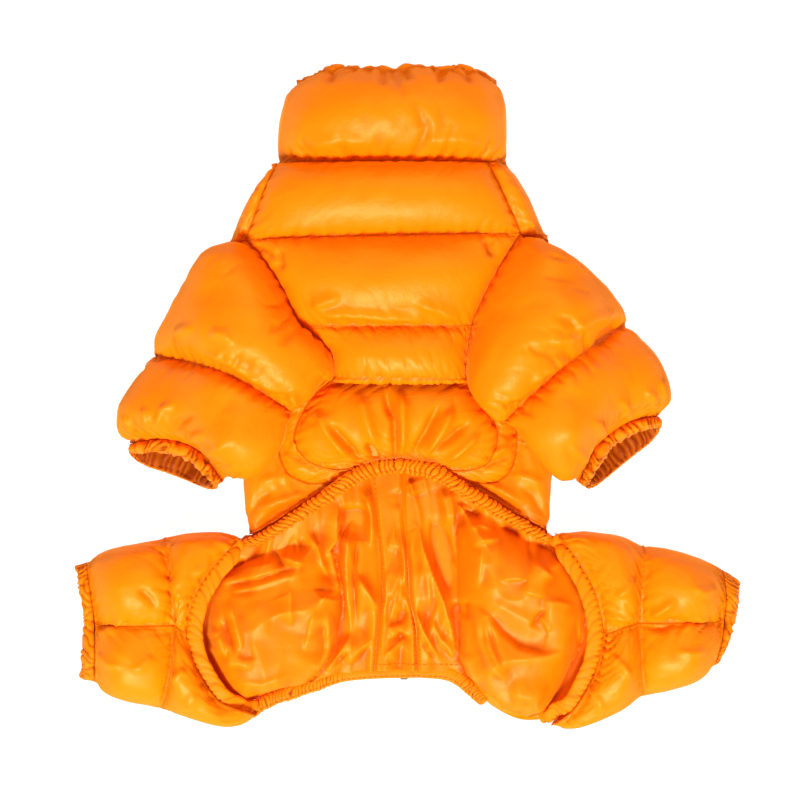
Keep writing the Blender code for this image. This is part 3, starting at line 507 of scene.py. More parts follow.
def shellMesh(name, cloth, material, skip=3):
    # Closed shell: the outer face on every line, the inner face on every third line, and
    # between their borders a strip of six-sided faces.
    outer, tube = cloth["outer"], cloth["tube"]
    rows, columns = outer.shape[:2]
    inner = cloth["inner"][::skip, ::skip]
    r2, c2 = inner.shape[:2]
    points = np.concatenate([outer.reshape(-1, 3), inner.reshape(-1, 3)])
    along = arcAlong(outer)
    across = arcAlong(outer.transpose(1, 0, 2)).T
    if tube:
        closing = across[:, -1:] + np.linalg.norm(outer[:, :1] - outer[:, -1:], axis=2)
        across, along = np.concatenate([across, closing], 1), np.concatenate([along, along[:, :1]], 1)

    def at(layer, row, column):
        if layer == 0:
            return row * columns + column % columns
        return rows * columns + row * c2 + column % c2

    def place(layer, row, column):
        if layer:
            row, column = row * skip, column * skip
        return np.stack([across[row, column], along[row, column]], -1)

    def faceSet(corners):
        index = np.stack([at(*c) for c in corners], -1)
        uv = np.stack([place(*c) for c in corners], -2)
        return index.reshape(-1, len(corners)), uv.reshape(-1, len(corners), 2)

    sets = []
    for layer, lines, posts in ((0, rows, columns), (1, r2, c2)):
        row, column = np.indices((lines - 1, posts if tube else posts - 1))
        ring = [(layer, row, column), (layer, row, column + 1), (layer, row + 1, column + 1),
                (layer, row + 1, column)]
        sets.append(faceSet(ring[::-1] if layer else ring))
    # the strips along the first and last row, then those along the first and last column
    strips = [(c2 if tube else c2 - 1, edge, flip, False) for edge, flip in ((0, False), (-1, True))]
    strips += [] if tube else [(r2 - 1, edge, flip, True) for edge, flip in ((0, True), (-1, False))]
    for count, edge, flip, upright in strips:
        run = np.arange(count)
        fine = run * 0 + edge % (columns if upright else rows)
        coarse = run * 0 + edge % (c2 if upright else r2)
        ring = [(0, fine, run * skip + k) for k in range(skip, -1, -1)]
        ring += [(1, coarse, run), (1, coarse, run + 1)]
        if upright:
            ring = [(layer, post, line) for layer, line, post in ring]
        sets.append(faceSet(ring[::-1] if flip else ring))
    if cloth["flip"]:
        sets = [(index[:, ::-1], uv[:, ::-1]) for index, uv in sets]
    normal = gridNormals(outer, tube)
    normal = -normal if cloth["flip"] else normal
    # painted shade in the valleys and painted highlight on the crests, with the painted shade along the seams
    # and beside casings laid over it
    depth = foldShade(outer, normal, tube, **cloth.get("shade", {}))
    if cloth.get("deep") is not None:
        depth = np.clip(np.maximum(depth, cloth["deep"]), -1, 1)
    # the inner face gets the valleys' painted shade, plus an even painted shade inside tubes such as cuffs
    inside = np.maximum(depth[::skip, ::skip], 0) + cloth.get("insideDeep", 0.0)
    faces = [face for index, uv in sets for face in index.tolist()]
    return markCloth(meshOf(name, points, faces, material), [uv for index, uv in sets],
                     [depth, np.clip(inside, 0, 1)])


def newObject(name, data):
    made = bpy.data.objects.new(name, data)
    bpy.context.scene.collection.objects.link(made)
    return made


def addPiece(name, mesh, slot, *nodes):
    # a finished piece rides on the garment and stands for its plain solid
    piece = newObject(name, mesh)
    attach(piece, "garment")
    if nodes:
        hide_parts(*nodes)
    return piece


def rowsOf(columns, table):
    return [dict(zip(columns, row)) for row in table]


# Blender's cloth works best at about a metre, so the membranes are puffed at 20 times their size
puff = {"frames": 14, "spare": 0.06, "spareAlong": 0.02, "cap": 4.5, "scale": 20.0}
membraneCloth = {"vertex_group_mass": "seam", "quality": 5, "mass": 0.3, "tension_stiffness": 15,
                 "compression_stiffness": 15, "shear_stiffness": 5, "bending_stiffness": 0.2,
                 "use_pressure": True, "uniform_pressure_force": 1.5}
paddedPieces = {}


def planPadded(name, node, cloth, look, folds, fill, slot="shell", rim=False):
    # a padded piece is dressed and waits here until all of them are puffed together
    dress(cloth, look, folds)
    paddedPieces[name] = {"cloth": cloth, "node": node, "slot": slot, "fill": fill, "rim": rim}


def flatPlace(grid):
    # every point's place on the cloth laid flat, measured along and across its grid lines
    along, across = arcAlong(grid), arcAlong(grid.transpose(1, 0, 2)).T
    return across - across[:, -1:] / 2, np.broadcast_to(along.mean(1, keepdims=True), along.shape)


def puffUp(pieces):
    # Blender's cloth: each outer face is a membrane fixed at its seams, cut a little larger
    # than its space and pressed out by the padding, so that it wrinkles from the seams.
    scene = bpy.context.scene
    scene.frame_start, scene.frame_end = 1, puff["frames"]
    membranes = {}
    for name, piece in pieces.items():
        cloth = piece["cloth"]
        rows, columns = cloth["outer"].shape[:2]
        mesh = bpy.data.meshes.new("membrane")
        faces = quadsOf(rows, columns, cloth["tube"], cloth["flip"])
        mesh.from_pydata((cloth["outer"].reshape(-1, 3) * mm * puff["scale"]).tolist(), [], faces.tolist())
        membrane = newObject("membrane", mesh)
        fixed = np.zeros((rows, columns), bool)
        fixed[cloth["seamAt"]] = True
        if not cloth["tube"]:
            fixed[:, [0, -1]] = True
        group = membrane.vertex_groups.new(name="seam")
        group.add(np.flatnonzero(fixed.ravel()).tolist(), 1.0, "REPLACE")
        step = membrane.modifiers.new("cloth", "CLOTH")
        settings = step.settings
        for key, value in membraneCloth.items():
            setattr(settings, key, value)
        if cloth["tube"]:
            settings.shrink_min = settings.shrink_max = -puff["spare"]
        else:
            # cut wider along the seams only, so that the spare cloth folds square to them
            across, along = flatPlace(cloth["outer"])
            cut = np.dstack([across * (1 + puff["spare"]), along * (1 + puff["spareAlong"]), across * 0])
            membrane.shape_key_add(name="laid")
            key = membrane.shape_key_add(name="cut")
            key.data.foreach_set("co", (cut * mm * puff["scale"]).ravel())
            settings.rest_shape_key = key
        settings.effector_weights.gravity = 0
        step.collision_settings.use_collision = False
        step.point_cache.frame_start, step.point_cache.frame_end = 1, puff["frames"]
        membranes[name] = membrane
    for moment in range(1, puff["frames"] + 1):
        scene.frame_set(moment)
    graph = bpy.context.evaluated_depsgraph_get()
    for name, membrane in membranes.items():
        cloth = pieces[name]["cloth"]
        settled = membrane.evaluated_get(graph).to_mesh()
        places = np.empty(len(settled.vertices) * 3)
        settled.vertices.foreach_get("co", places)
        moved = places.reshape(cloth["outer"].shape) / mm / puff["scale"] - cloth["outer"]
        far = np.linalg.norm(moved, axis=-1, keepdims=True)
        limit = puff["cap"] * (0.35 + 0.65 * smoothStep(cloth["normal"][..., 2], -0.4, 0.2))[..., None]
        moved = moved * limit * np.tanh(far / limit) / np.maximum(far, 1e-6)
        cloth["outer"] = onFloor(cloth["outer"] + moved)
        print("puffed", name, len(settled.vertices), "points, moved up to %.1f mm" % far.max())
    for membrane in membranes.values():
        bpy.data.meshes.remove(membrane.data)
    scene.frame_set(1)


# torso: the back's and front's sections, then the belly and side strips
zipX, zipHalf, zipEdgeZ = -2.0, 5.3, 4.2

# Sections from the collar seam to the chest's lower edge.
chestColumns = ("yLeft", "yRight", "sideLeft", "backLeft", "frontLeft", "frontRight", "backRight",
                "sideRight", "backZ", "seamZ", "crestZ", "pad", "lift")
chestRows = rowsOf(chestColumns, (
    (142, 143, -79, -78, -78, 48, 48, 60, 26, 26, 35, 2.6, 3.5),
    (137, 138, -84, -80, -80, 50, 50, 64, 31, 31, 47, 8.0, 0.5),
    (121, 123, -95, -87, -87, 57, 57, 74, 34, 34, 55, 11.0, 0.0),
    (103, 107, -104, -94, -94, 65, 65, 81, 31, 31, 49, 8.0, 0.5),
    (96, 100, -109, -97, -97, 68, 68, 85, 26, 26, 41, 2.6, 3.0),
    (92.5, 96.5, -110, -108.5, -93, 65, 84.5, 86.5, 15, 29, 47, 7.0, 0.5),
    (70, 72, -108, -103, -76, 50, 82, 88, 17, 36, 60, 11.0, 0.0),
    (50, 50, -106, -96, -66, 40, 76, 89, 19, 36, 53, 8.0, 0.5),
    (44, 44, -105, -92, -62, 38, 71, 89, 20, 33, 46, 2.6, 3.0),
    (38, 38, -104, -86, -54, 37, 65, 89, 21, 34, 52, 7.0, 0.5),
    (26, 25, -103, -70, -45, 35, 50, 89, 22, 35, 57, 10.0, 0.0),
    (13, 12, -102, -50, -44, 36, 38, 89, 23, 33, 49, 7.0, 0.5),
))
armTopRow = 4
# Sections from there to the elastic arch; reach is how far each has come towards it.
bellyColumns = ("reach", "yBack", "sideLeft", "backLeft", "bellyLeft", "bellyRight", "backRight",
                "sideRight", "backZ", "seamZ", "crestZ", "pad", "lift")
bellyRows = rowsOf(bellyColumns, (
    (0.00, 11, -102, -64, -46, 37, 50, 89, 22, 25, 32, 4.0, 2.0),
    (0.20, -12, -101, -78, -60, 46, 62, 89, 22, 27, 39, 8.0, 0.0),
    (0.45, -32, -101, -78, -68, 54, 66, 88, 21, 28, 43, 9.0, 0.0),
    (0.70, -52, -100, -72, -58, 49, 62, 88, 20, 27, 40, 8.0, 0.0),
    (0.90, -70, -98, -56, -42, 34, 48, 87, 19, 25, 34, 5.0, 1.0),
    (1.00, -81, -96, -44, -31, 23, 34, 85, 18, 24, 30, 2.6, 3.0),
))
chestEndY = 12.0
arch = np.array((
    (-98.5, -87.5, 17), (-86, -82, 18), (-64, -68, 21), (-46, -56, 24), (-34, -47, 26),
    (-20, -41, 27), (-4, -39, 28), (14, -42, 27), (28, -50, 26), (44, -60, 24),
    (62, -71, 21), (76, -79, 18), (86, -84.5, 17)))
elasticRadius = 4.2


def panelSection(row, left, right, across, ease=1.0):
    # an upper panel between its two seams: height follows (1 - |a|^2.6)^(ease / 2)
    x = left + (right - left) * (across + 1) / 2
    rise = bulge(across) ** ease
    z = row["seamZ"] + (row["crestZ"] - row["seamZ"]) * rise
    thick = edgeWall + (row["pad"] - edgeWall) * rise
    return np.stack([x, z], -1), np.stack([x, z - thick], -1)


def wrapControl(start, side, end, endZ, crestZ, pad, lift, startZ):
    # Nine bends of a section that rests on the floor, rounds the side and ends above; the
    # lining's line keeps the padding's thickness inside them.
    to = math.copysign(1.0, start - side)
    room = max(crestZ - lift, 6.0)
    thick = min(pad, room * 0.36)
    span, top = abs(start - side), abs(end - side)
    edge = min(thick, edgeWall)
    shoulder, shoulderZ, topZ = min(3.5, top * 0.3), sideZ + (crestZ - sideZ) * 0.62, max(crestZ, endZ)
    outer = [(start, startZ), (start - to * 9, lift), (side + to * span * 0.55, lift), (side + to * 12, lift),
             (side + to * 3.5, lift + (sideZ - lift) * 0.32), (side, sideZ),
             (side + to * shoulder, shoulderZ), (side + to * top * 0.5, topZ), (end, endZ)]
    inner = [(start, startZ + edge), (start - to * 9, lift + thick), (side + to * span * 0.55, lift + thick),
             (side + to * (12 + thick * 0.3), lift + thick),
             (side + to * (3.5 + thick * 0.8), lift + thick * 1.05),
             (side + to * min(thick + 1.0, max(top * 0.5, 3.2)), lift + room * 0.5),
             (side + to * max(min(3.5 + thick * 0.5, top * 0.72), shoulder),
              max(lift + room * 0.56, shoulderZ - thick)),
             (side + to * max(top * 0.5, min(top * 0.86, thick + 3.5)), topZ - thick), (end, endZ - edge)]
    return np.array(outer), np.array(inner)


def bendPlaces(controls, step, crowd=True):
    # places between the bends, in bend numbers, about one step apart on the widest section
    hops = np.mean([np.linalg.norm(np.diff(c, axis=0), axis=1) for c in controls], axis=0)
    count = timesThree(hops.sum(), step)
    share = spacedShares(count + 1, 0.35) if crowd else np.linspace(0, 1, count + 1)
    return np.interp(share * hops.sum(), np.concatenate([[0], np.cumsum(hops)]), np.arange(len(hops) + 1))


def alongBends(control, places):
    return easeThrough(np.arange(len(control)), control, places)


def tiltY(row, x):
    # plan y on the line from yLeft at x = -100 to yRight at x = 90
    return row["yLeft"] + (row["yRight"] - row["yLeft"]) * (x + 100) / 190


def tilted(section, row):
    # stands an x, z section on that line
    x, z = section[:, 0], section[:, 1]
    return np.stack([x, tiltY(row, x), z], -1)


def archY(x):
    slope = np.interp(x, arch[:, 0], np.gradient(arch[:, 1], arch[:, 0]))
    return np.interp(x, arch[:, 0], arch[:, 1]) + (elasticRadius + 0.6) * np.sqrt(1 + slope ** 2)


def reaching(x, row):
    # plan y of a row below the chest, by how far it has come towards the arch
    return chestEndY + (archY(x) - chestEndY) * row["reach"]


def towardsArch(section, row):
    # lays a section between the chest's edge and the arch, its underside at yBack
    x, z = section[:, 0], section[:, 1]
    yOver = reaching(x, row)
    over = np.clip((z - sideZ * 0.85) / (sideZ * 0.35), 0, 1)
    return np.stack([x, row["yBack"] + (yOver - row["yBack"]) * over, z], -1)


def backRows(side, step=1.5):
    # a back panel's sections, from the zip over the floor, round the side and up to its seam
    start = zipX + (-zipHalf if side == "Left" else zipHalf)
    plans = [(row, tilted, 2.0 if place <= armTopRow else 0.2, row["pad"], row["lift"])
             for place, row in enumerate(chestRows)]
    plans += [(row, towardsArch, 1.5, *((2.6, 3.0) if place == 2 else (row["pad"], row["lift"])))
              for place, row in enumerate(bellyRows)]
    controls = [wrapControl(start, row["side" + side], row["back" + side], row["backZ"], row["backZ"] + over,
                            pad, lift, zipEdgeZ) for row, lay, over, pad, lift in plans]
    places = bendPlaces([c[0] for c in controls], step)
    outer, inner = (np.array([lay(alongBends(control[layer], places), row)
                              for control, (row, lay, *rest) in zip(controls, plans)]) for layer in (0, 1))
    inner[len(chestRows):, :, 1] = outer[len(chestRows):, :, 1]
    return outer, inner


def frontRows(step=1.2):
    across = 2 * spacedShares(timesThree(150, step) + 1, 0.6) - 1
    lines = [panelSection(row, row["frontLeft"], row["frontRight"], across) for row in chestRows]
    return [np.array([tilted(pair[layer], row) for pair, row in zip(lines, chestRows)]) for layer in (0, 1)]


backSeams = (0, 4, 8, 12, 14, 17)
frontSeams = (0, 4, 8, 11)
backLook = {"uneven": 1.0, "ripple": 0.35, "spacing": 8.0, "depth": 1.3, "reach": 8.0,
            "puckers": ({"seams": (5,), "spacing": 7.0, "depth": 3.4, "reach": 16.0, "round": 1.2},),
            "shadow": {5: 9.0}}
backFolds = {
    "Left": [
        (2.2, -2.4, -94, -78.6, -77, -67, -54, -57.6), (3.0, 1.7, -92, -66, -75, -60, -56, -55),
        (2.4, -1.3, -98, -72, -90, -60, -78, -52), (3.0, 1.1, -92, -50, -78, -46, -66, -46),
    ],
    "Right": [
        (2.2, -2.4, 38, -50, 53, -58.7, 74, -72.3), (3.0, 1.7, 40.5, -47, 56, -54, 72, -63),
        (2.4, -1.3, 84, -72, 76, -58, 66, -50), (3.0, 1.1, 84, -52, 72, -46, 60, -44),
    ],
}
frontLook = {"uneven": 1.3, "ripple": 0.4, "spacing": 7.5, "depth": 1.5, "reach": 9.0, "seed": 2}
frontFolds = [
    (2.6, 1.8, -61.5, 50, -34.5, 51, -4.5, 48.5, 13.5, 46), (3.0, 1.4, -58.5, 53.7, -48, 58, -37.5, 60.3),
    (3.0, 1.4, 1.5, 57.3, 18, 53, 34.5, 46.3), (2.4, -1.6, -93, 92, -84, 88, -77.7, 83),
    (2.6, -1.6, -76.5, 91, -75.5, 84, -74.7, 75), (2.6, -1.8, 46.5, 98, 49, 90, 51.3, 83),
]

for side, seed in (("Left", 3), ("Right", 4)):
    cloth = clothOf(*backRows(side), backSeams, step=1.6)
    planPadded("backPanel" + side, "back_" + side.lower(), cloth, dict(backLook, seed=seed),
               backFolds[side], 0.55)
cloth = clothOf(*frontRows(), frontSeams, step=1.2)
planPadded("frontPanel", "front_panel", cloth, frontLook, frontFolds, 0.6, rim=True)
print("torso made")


def bellyLines(step=1.1):
    across = 2 * spacedShares(timesThree(122, step) + 1, 0.6) - 1
    lines = [panelSection(row, row["bellyLeft"], row["bellyRight"], across, 1.3) for row in bellyRows]
    return [np.array([np.stack([pair[layer][:, 0], reaching(pair[layer][:, 0], row), pair[layer][:, 1]], -1)
                      for pair, row in zip(lines, bellyRows)]) for layer in (0, 1)]


def stripLines(side):
    # narrow pleated strip from the back panel's edge to the belly panel
    share = spacedShares(timesThree(20, 0.9) + 1, 0.5)
    rise = bulge(share * 2 - 1)
    outer = []
    for row in bellyRows:
        x = row["back" + side] + (row["belly" + side] - row["back" + side]) * share
        z = row["backZ"] + (row["seamZ"] - row["backZ"]) * share + 2.5 * rise
        outer.append(np.stack([x, reaching(x, row), z], -1))
    outer = np.array(outer)
    return outer, outer - np.stack([rise * 0, rise * 0, edgeWall + 1.5 * rise], -1)


bellyLook = {"uneven": 0.9, "ripple": 0.4, "spacing": 8.0, "depth": 1.2, "reach": 9.0, "seed": 6,
             "puckers": ({"seams": (1,), "spacing": 6.0, "depth": 4.0, "reach": 15.0, "round": 0.9},
                         {"seams": (), "sides": True, "spacing": 7.5, "depth": 2.6, "reach": 10.0,
                          "round": 1.1}),
             "shadow": {0: 9.0, 1: 4.0}}
bellyFolds = [
    (2.2, -4.6, -13, 12, -12.3, 3, -10.5, -4.5, -7.5, -12, -7, -24, -7.5, -37),
    (3.2, 2.8, -5, 8, -3, -4, -3, -20, -4, -36), (2.6, -3.6, -50.7, -10.5, -37.5, -25.5, -25.5, -40),
    (3.2, 2.6, -56, -4, -44, -22, -31, -38), (2.0, -3.0, -25, -24, -21, -31, -16.5, -38),
    (2.6, -3.4, 19.5, 0, 10.5, -21, 1.5, -35), (3.4, 2.8, 28, -2, 19, -20, 9, -36),
    (2.4, -3.4, 37.5, -12, 24, -24, 11, -33), (2.6, 2.2, 44, -18, 32, -29, 20, -38),
    (4.0, 2.2, -30, 6, -24, -12, -17, -32),
]
cloth = clothOf(*bellyLines(), (0, 5), step=1.1)
planPadded("bellyPanel", "belly_panel", cloth, bellyLook, bellyFolds, 0.5, "shell_shaded")
stripLook = {"uneven": 0.5, "ripple": 0.4, "spacing": 5.0, "depth": 1.0, "reach": 6.0, "shadow": {1: 7.0},
             "puckers": ({"seams": (), "sides": True, "spacing": 5.5, "depth": 1.8, "reach": 6.0,
                          "round": 1.0},)}
stripFolds = {
    "Left": [
        (2.2, 1.6, -72, -24, -64, -27, -61, -37), (2.0, -1.4, -82, -26, -66, -36, -52, -44),
    ],
    "Right": [
        (2.2, 1.5, 64, -24, 55, -30, 44, -36), (2.0, -1.4, 65, -32, 52, -38, 42, -44),
    ],
}
for side, seed in (("Left", 7), ("Right", 8)):
    cloth = clothOf(*stripLines(side), (0, 5), step=1.1)
    planPadded("sideStrip" + side, "side_strip_" + side.lower(), cloth, dict(stripLook, seed=seed),
               stripFolds[side], 0.35, "shell_shaded")

# collar: a padded tube, full above and flat below
collarColumns = ("yLeft", "yRight", "sideLeft", "sideRight", "crestZ", "pad", "lift", "ahead")
collarRows = rowsOf(collarColumns, (
    (142.3, 143.3, -79, 60, 35, 2.6, 3.5, 0.0),
    (148, 149, -78, 59.5, 46, 8.0, 0.5, 0.0),
    (166, 167, -75, 58, 53, 11.0, 0.0, 0.0),
    (185, 185, -70, 56, 46, 8.0, 0.0, 1.0),
    (193.1, 193.1, -67, 54, 37, 4.0, 0.5, 5.0),
))
collarLook = {"uneven": 1.3, "ripple": 0.35, "spacing": 8.5, "depth": 1.4, "reach": 8.0, "seed": 9}
collarFolds = [
    (1.8, -2.2, -14.5, 199, -14.4, 194, -14.7, 184), (2.2, -1.6, -48, 199, -45, 194, -46.5, 186),
    (2.0, -1.6, 24, 199, 20, 194, 18, 186), (2.2, -1.8, -2, 200, -1, 194, 3, 188),
    (2.4, -1.2, 38, 200, 36, 193, 38, 186), (3.5, 1.0, -62, 150, -40, 153, -18, 151),
    (3.5, 1.0, 6, 152, 28, 154, 48, 151),
]
lipWave = {"x": (-70, -66, -56, -45, -38, -26, -14, -9, -5, -2, 8, 20, 32, 40, 50, 56),
           "y": (-3.2, -3.0, -2.5, 1.6, 0.3, -1.0, -0.6, -2.6, -1.6, 0.4, 0.4, -1.2, 1.6, 0.0, -1.4, -3.0)}


def collarLoop(row, shrink, turns):
    # a flattened ring, full above and flat below; turns run round it from the right side
    angle = turns * 2 * np.pi
    half, middle = (row["sideRight"] - row["sideLeft"]) / 2, (row["sideRight"] + row["sideLeft"]) / 2
    across = np.cos(angle)
    x = middle + (half - shrink) * across
    over = np.sin(angle) > 1e-6
    rise = bulge(across, 3.0)
    zOver = sideZ + (row["crestZ"] - sideZ - shrink) * rise
    zUnder = row["lift"] + shrink + (sideZ - row["lift"] - shrink) * (1 - bulge(across, 8.0))
    y = tiltY(row, x) + np.where(over, row["ahead"] * rise, 0)
    if row["ahead"] > 2:
        below = 0.4 * softNoise(np.stack([x, y, x * 0], -1), 9, 2)
        y = y + np.where(over, np.interp(x, lipWave["x"], lipWave["y"]), below)
    return np.stack([x, y, np.where(over, zOver, zUnder)], -1)


turns = np.arange(timesThree(300, 1.25)) / timesThree(300, 1.25)
turns = turns - 0.11 * np.sin(4 * np.pi * turns) / (2 * np.pi) * 2
outer, inner = ([collarLoop(row, row["pad"] * layer, turns) for row in collarRows] for layer in (0, 1))
cloth = clothOf(outer, inner, (0, 4), tube=True, step=1.2)
planPadded("funnelCollar", "collar", cloth, collarLook, collarFolds, 0.65, rim=True)
print("collar made")

# sleeves: sections from the armhole to the cuff, by their outer and inner edges in plan
sleeveColumns = ("outX", "outY", "inX", "inY", "bow", "height", "pad")
sleeveRows = {
    "Left": rowsOf(sleeveColumns, (
        (-121, 87, -50, 13, 2, 33, 7.0), (-138, 58, -58, 2, 3, 38, 10.0), (-151, 36, -66, -4, 5, 32, 8.0),
        (-153, 27, -69, -7, 7, 23, 2.8), (-159, 19, -71, -14, 6, 32, 8.0), (-172, -4, -80, -33, 2, 39, 10.0),
        (-174, -17, -95, -46, 3, 30, 7.0), (-169, -26, -110, -48, 7, 19, 2.8))),
    "Right": rowsOf(sleeveColumns, (
        (95, 87, 39, 5, 2, 33, 7.0), (114, 70, 47, -6, 3, 38, 10.0), (130, 54, 53, -12, 4, 32, 8.0),
        (132, 46, 56, -13, 4, 23, 2.8), (139, 39, 62, -16, 4, 32, 8.0), (153, 20, 74, -31, 2, 39, 10.0),
        (159, 0, 92, -49, 3, 30, 7.0), (153, -9, 102, -49, 6, 19, 2.8))),
}
for side in ("Left", "Right"):
    # the elastic draws the upper cloth back, so that the mouth stands open towards the eye
    for place, topBow in ((-2, 3.0), (-1, 6.0)):
        sleeveRows[side][place]["topBow"] = topBow
cuffAxis = {"Left": (-0.45, -0.893), "Right": (0.60, -0.80)}
sleeveRamp = {"Left": ((-45, -132, -99), (50, -155, -109)), "Right": ((-45, 122, 90), (50, 136, 93))}
sleeveOverBody = 26
topBends, allBends = 8, 15


def sleeveBase(side, x, y):
    # underside of the sleeve: the floor, rising smoothly where it lies on the body
    places, feet, heads = zip(*sleeveRamp[side])
    foot, head = np.interp(y, places, feet), np.interp(y, places, heads)
    return 0.4 + sleeveOverBody * smoothStep((x - foot) / (head - foot), 0, 1)


def sleeveLoop(side, row, shrink, bends):
    # one closed section: bends 0 to 8 over the top from the outer to the inner edge, 8 to 15 back below
    isTop = bends <= topBends
    along = np.where(isTop, bends / topBends, 1 - (bends - topBends) / (allBends - topBends))
    width = math.hypot(row["inX"] - row["outX"], row["inY"] - row["outY"])
    margin = shrink / width + row.get("tuck", 0)
    place = margin + (1 - 2 * margin) * along
    bow = (row["bow"] + row.get("topBow", 0) * isTop) * np.sin(np.pi * place)
    x = row["outX"] + (row["inX"] - row["outX"]) * place - cuffAxis[side][0] * bow
    y = row["outY"] + (row["inY"] - row["outY"]) * place - cuffAxis[side][1] * bow
    base, height, edge = sleeveBase(side, x, y), row["height"], 0.42 * row["height"]
    zTop = base + edge + (height - edge - shrink) * bulge(2 * along - 1, 2.6)
    zBottom = base + shrink + (edge - shrink) * (1 - bulge(2 * along - 1, 5.0))
    return np.stack([x, y, np.where(isTop, zTop, zBottom)], -1)


def armholeLoop(side, layer, bends, front, back):
    # the sleeve's first ring lies on the borders of the front and back panels
    column = 0 if side == "Left" else -1
    sign = -1 if side == "Left" else 1
    edge, under = front[layer][:, column], back[0][:, -1]
    first = armTopRow + 1
    shoulder = under[first] + (0, 0, seamGap)
    if layer:
        shoulder = shoulder - (sign * edgeWall, edgeWall * 0.6, -edgeWall * 0.6)
    corner = edge[armTopRow] - (0, seamGap * 1.6, 0)
    bottom = under[len(chestRows) - 1:first:-1] + (0, 0, seamGap + (edgeWall if layer else 0.0))
    ring = np.concatenate([[shoulder, corner], edge[first:] + (sign * seamGap, 0, 0), bottom, [shoulder]])
    return easeThrough(np.arange(len(ring)), ring, bends)


def loopBends(topLength, bottomLength, step):
    top = spacedShares(timesThree(topLength, step) + 1, 0.75)[:-1] * topBends
    bottom = topBends + spacedShares(timesThree(bottomLength, step) + 1, 0.6)[:-1] * (allBends - topBends)
    return np.concatenate([top, bottom])


sleeveLook = {"uneven": 1.4, "ripple": 0.4, "spacing": 8.0, "depth": 1.7, "reach": 10.0,
              "puckers": ({"seams": (2,), "spacing": 6.5, "depth": 5.2, "reach": 17.0, "round": 0.9},)}
sleeveFolds = {
    "Left": [
        (2.4, 1.6, -121.5, 29, -104, 23, -86, 11, -72, 2), (2.6, 2.2, -70, 5, -67, 2, -66, -3),
        (2.6, 1.6, -139, 38, -130, 42, -124, 41), (2.8, 1.6, -116, 40, -106, 38, -100, 32),
        (2.4, 1.7, -148.5, -18, -145.5, -6, -136.5, -1), (2.4, 1.6, -130.5, -24, -124, -21, -117, -19),
        (2.2, 1.6, -157.5, -3, -155.5, -10, -154.5, -18), (2.0, 1.4, -172, -8, -167, -14, -163.5, -21),
        (2.4, -1.2, -140, -20, -134, -12, -124, -8), (2.4, 1.2, -120, -34, -112, -28, -103, -26),
    ],
    "Right": [
        (2.6, -2.0, 109.5, 33, 121.5, 42, 128, 50), (3.2, 1.6, 91.5, 39, 110, 48, 127, 52),
        (2.8, 1.3, 82.5, 32, 92, 36, 100.5, 33), (2.4, 1.3, 70, 8, 82, 18, 96, 25),
        (2.4, 1.5, 150, -8, 146, 2, 140, 8), (2.4, 1.5, 134, -14, 130, -4, 124, 2),
        (2.4, 1.4, 118, -26, 113, -16, 106, -10), (2.4, 1.2, 108, -38, 100, -30, 92, -27),
        (2.0, 1.2, 154, -2, 153, 6, 150, 14),
    ],
}
frontForArm = frontRows(3.0)
for side, seed in (("Left", 12), ("Right", 13)):
    bends = loopBends(118, 105, 1.35)
    backForArm = backRows(side, 3.0)
    outer, inner = ([armholeLoop(side, layer, bends, frontForArm, backForArm)]
                    + [sleeveLoop(side, row, row["pad"] * layer, bends) for row in sleeveRows[side]]
                    for layer in (0, 1))
    cloth = clothOf(outer, inner, (0, 4, 8), tube=True, step=1.3, gap=False)
    planPadded("sleeve" + side, "sleeve_" + side.lower(), cloth, dict(sleeveLook, seed=seed),
               sleeveFolds[side], 0.6)
print("sleeves made")

# hind legs: sections from the thigh to the cuff, by their front and rear edges in plan
legColumns = ("foreX", "foreY", "rearX", "rearY", "bow", "seamZ", "crestZ", "pad", "lift")
legRows = {
    "Left": rowsOf(legColumns, (
        (-100, -83, -103, -191, -30, 23, 29, 2.6, 2.0), (-113, -80.5, -107, -197.5, -22, 27, 35, 6.0, 0.0),
        (-131, -80.5, -131, -192, -6, 30, 40, 8.0, 0.0), (-147, -83, -148, -187, 8, 24, 29, 2.6, 3.0),
        (-158, -85, -157, -184, 7, 30, 38, 7.0, 0.0), (-172, -88, -171, -181, 5, 32, 41, 8.0, 0.0),
        (-187, -93, -184, -177, 3, 25, 32, 5.0, 0.5), (-194, -98, -189, -171, 3, 19, 23, 2.6, 2.5))),
    "Right": rowsOf(legColumns, (
        (89, -80, 90, -197, 27, 23, 29, 2.6, 2.0), (100, -79, 97, -199.5, 21, 27, 35, 6.0, 0.0),
        (120, -80, 121, -191, 9, 30, 40, 8.0, 0.0), (143, -88, 142, -179, -3, 24, 29, 2.6, 3.0),
        (153, -89, 152, -177, -2, 30, 38, 7.0, 0.0), (167, -92, 166, -173, 0, 32, 41, 8.0, 0.0),
        (183, -98, 178, -168, 3, 25, 32, 5.0, 0.5), (190, -102, 184, -162, 4, 19, 23, 2.6, 2.5))),
}


for side, toe in (("Left", 12), ("Right", -3)):
    # the rear corner of the thigh seam reaches in under the tail hem
    legRows[side][0]["toe"] = toe


def legPlace(row, share):
    # plan position on a leg section, share 0 at its front end and 1 at its rear end
    x = row["foreX"] + (row["rearX"] - row["foreX"]) * share + row["bow"] * 4 * share * (1 - share)
    x = x + row.get("toe", 0) * smoothStep(share, 0.90, 1.0)
    return x, row["foreY"] + (row["rearY"] - row["foreY"]) * share


def legControl(row, part):
    width = abs(row["rearY"] - row["foreY"])
    return wrapControl(0.5 * width, 0.0 if part == "fore" else width, 0.5 * width, row["seamZ"],
                       row["crestZ"], row["pad"], row["lift"], row["lift"] + 1.5)


def legSection(row, part, places):
    result = []
    for control in legControl(row, part):
        line = alongBends(control, places)
        x, y = legPlace(row, line[:, 0] / abs(row["rearY"] - row["foreY"]))
        result.append(np.stack([x, y, line[:, 1]], -1))
    return result


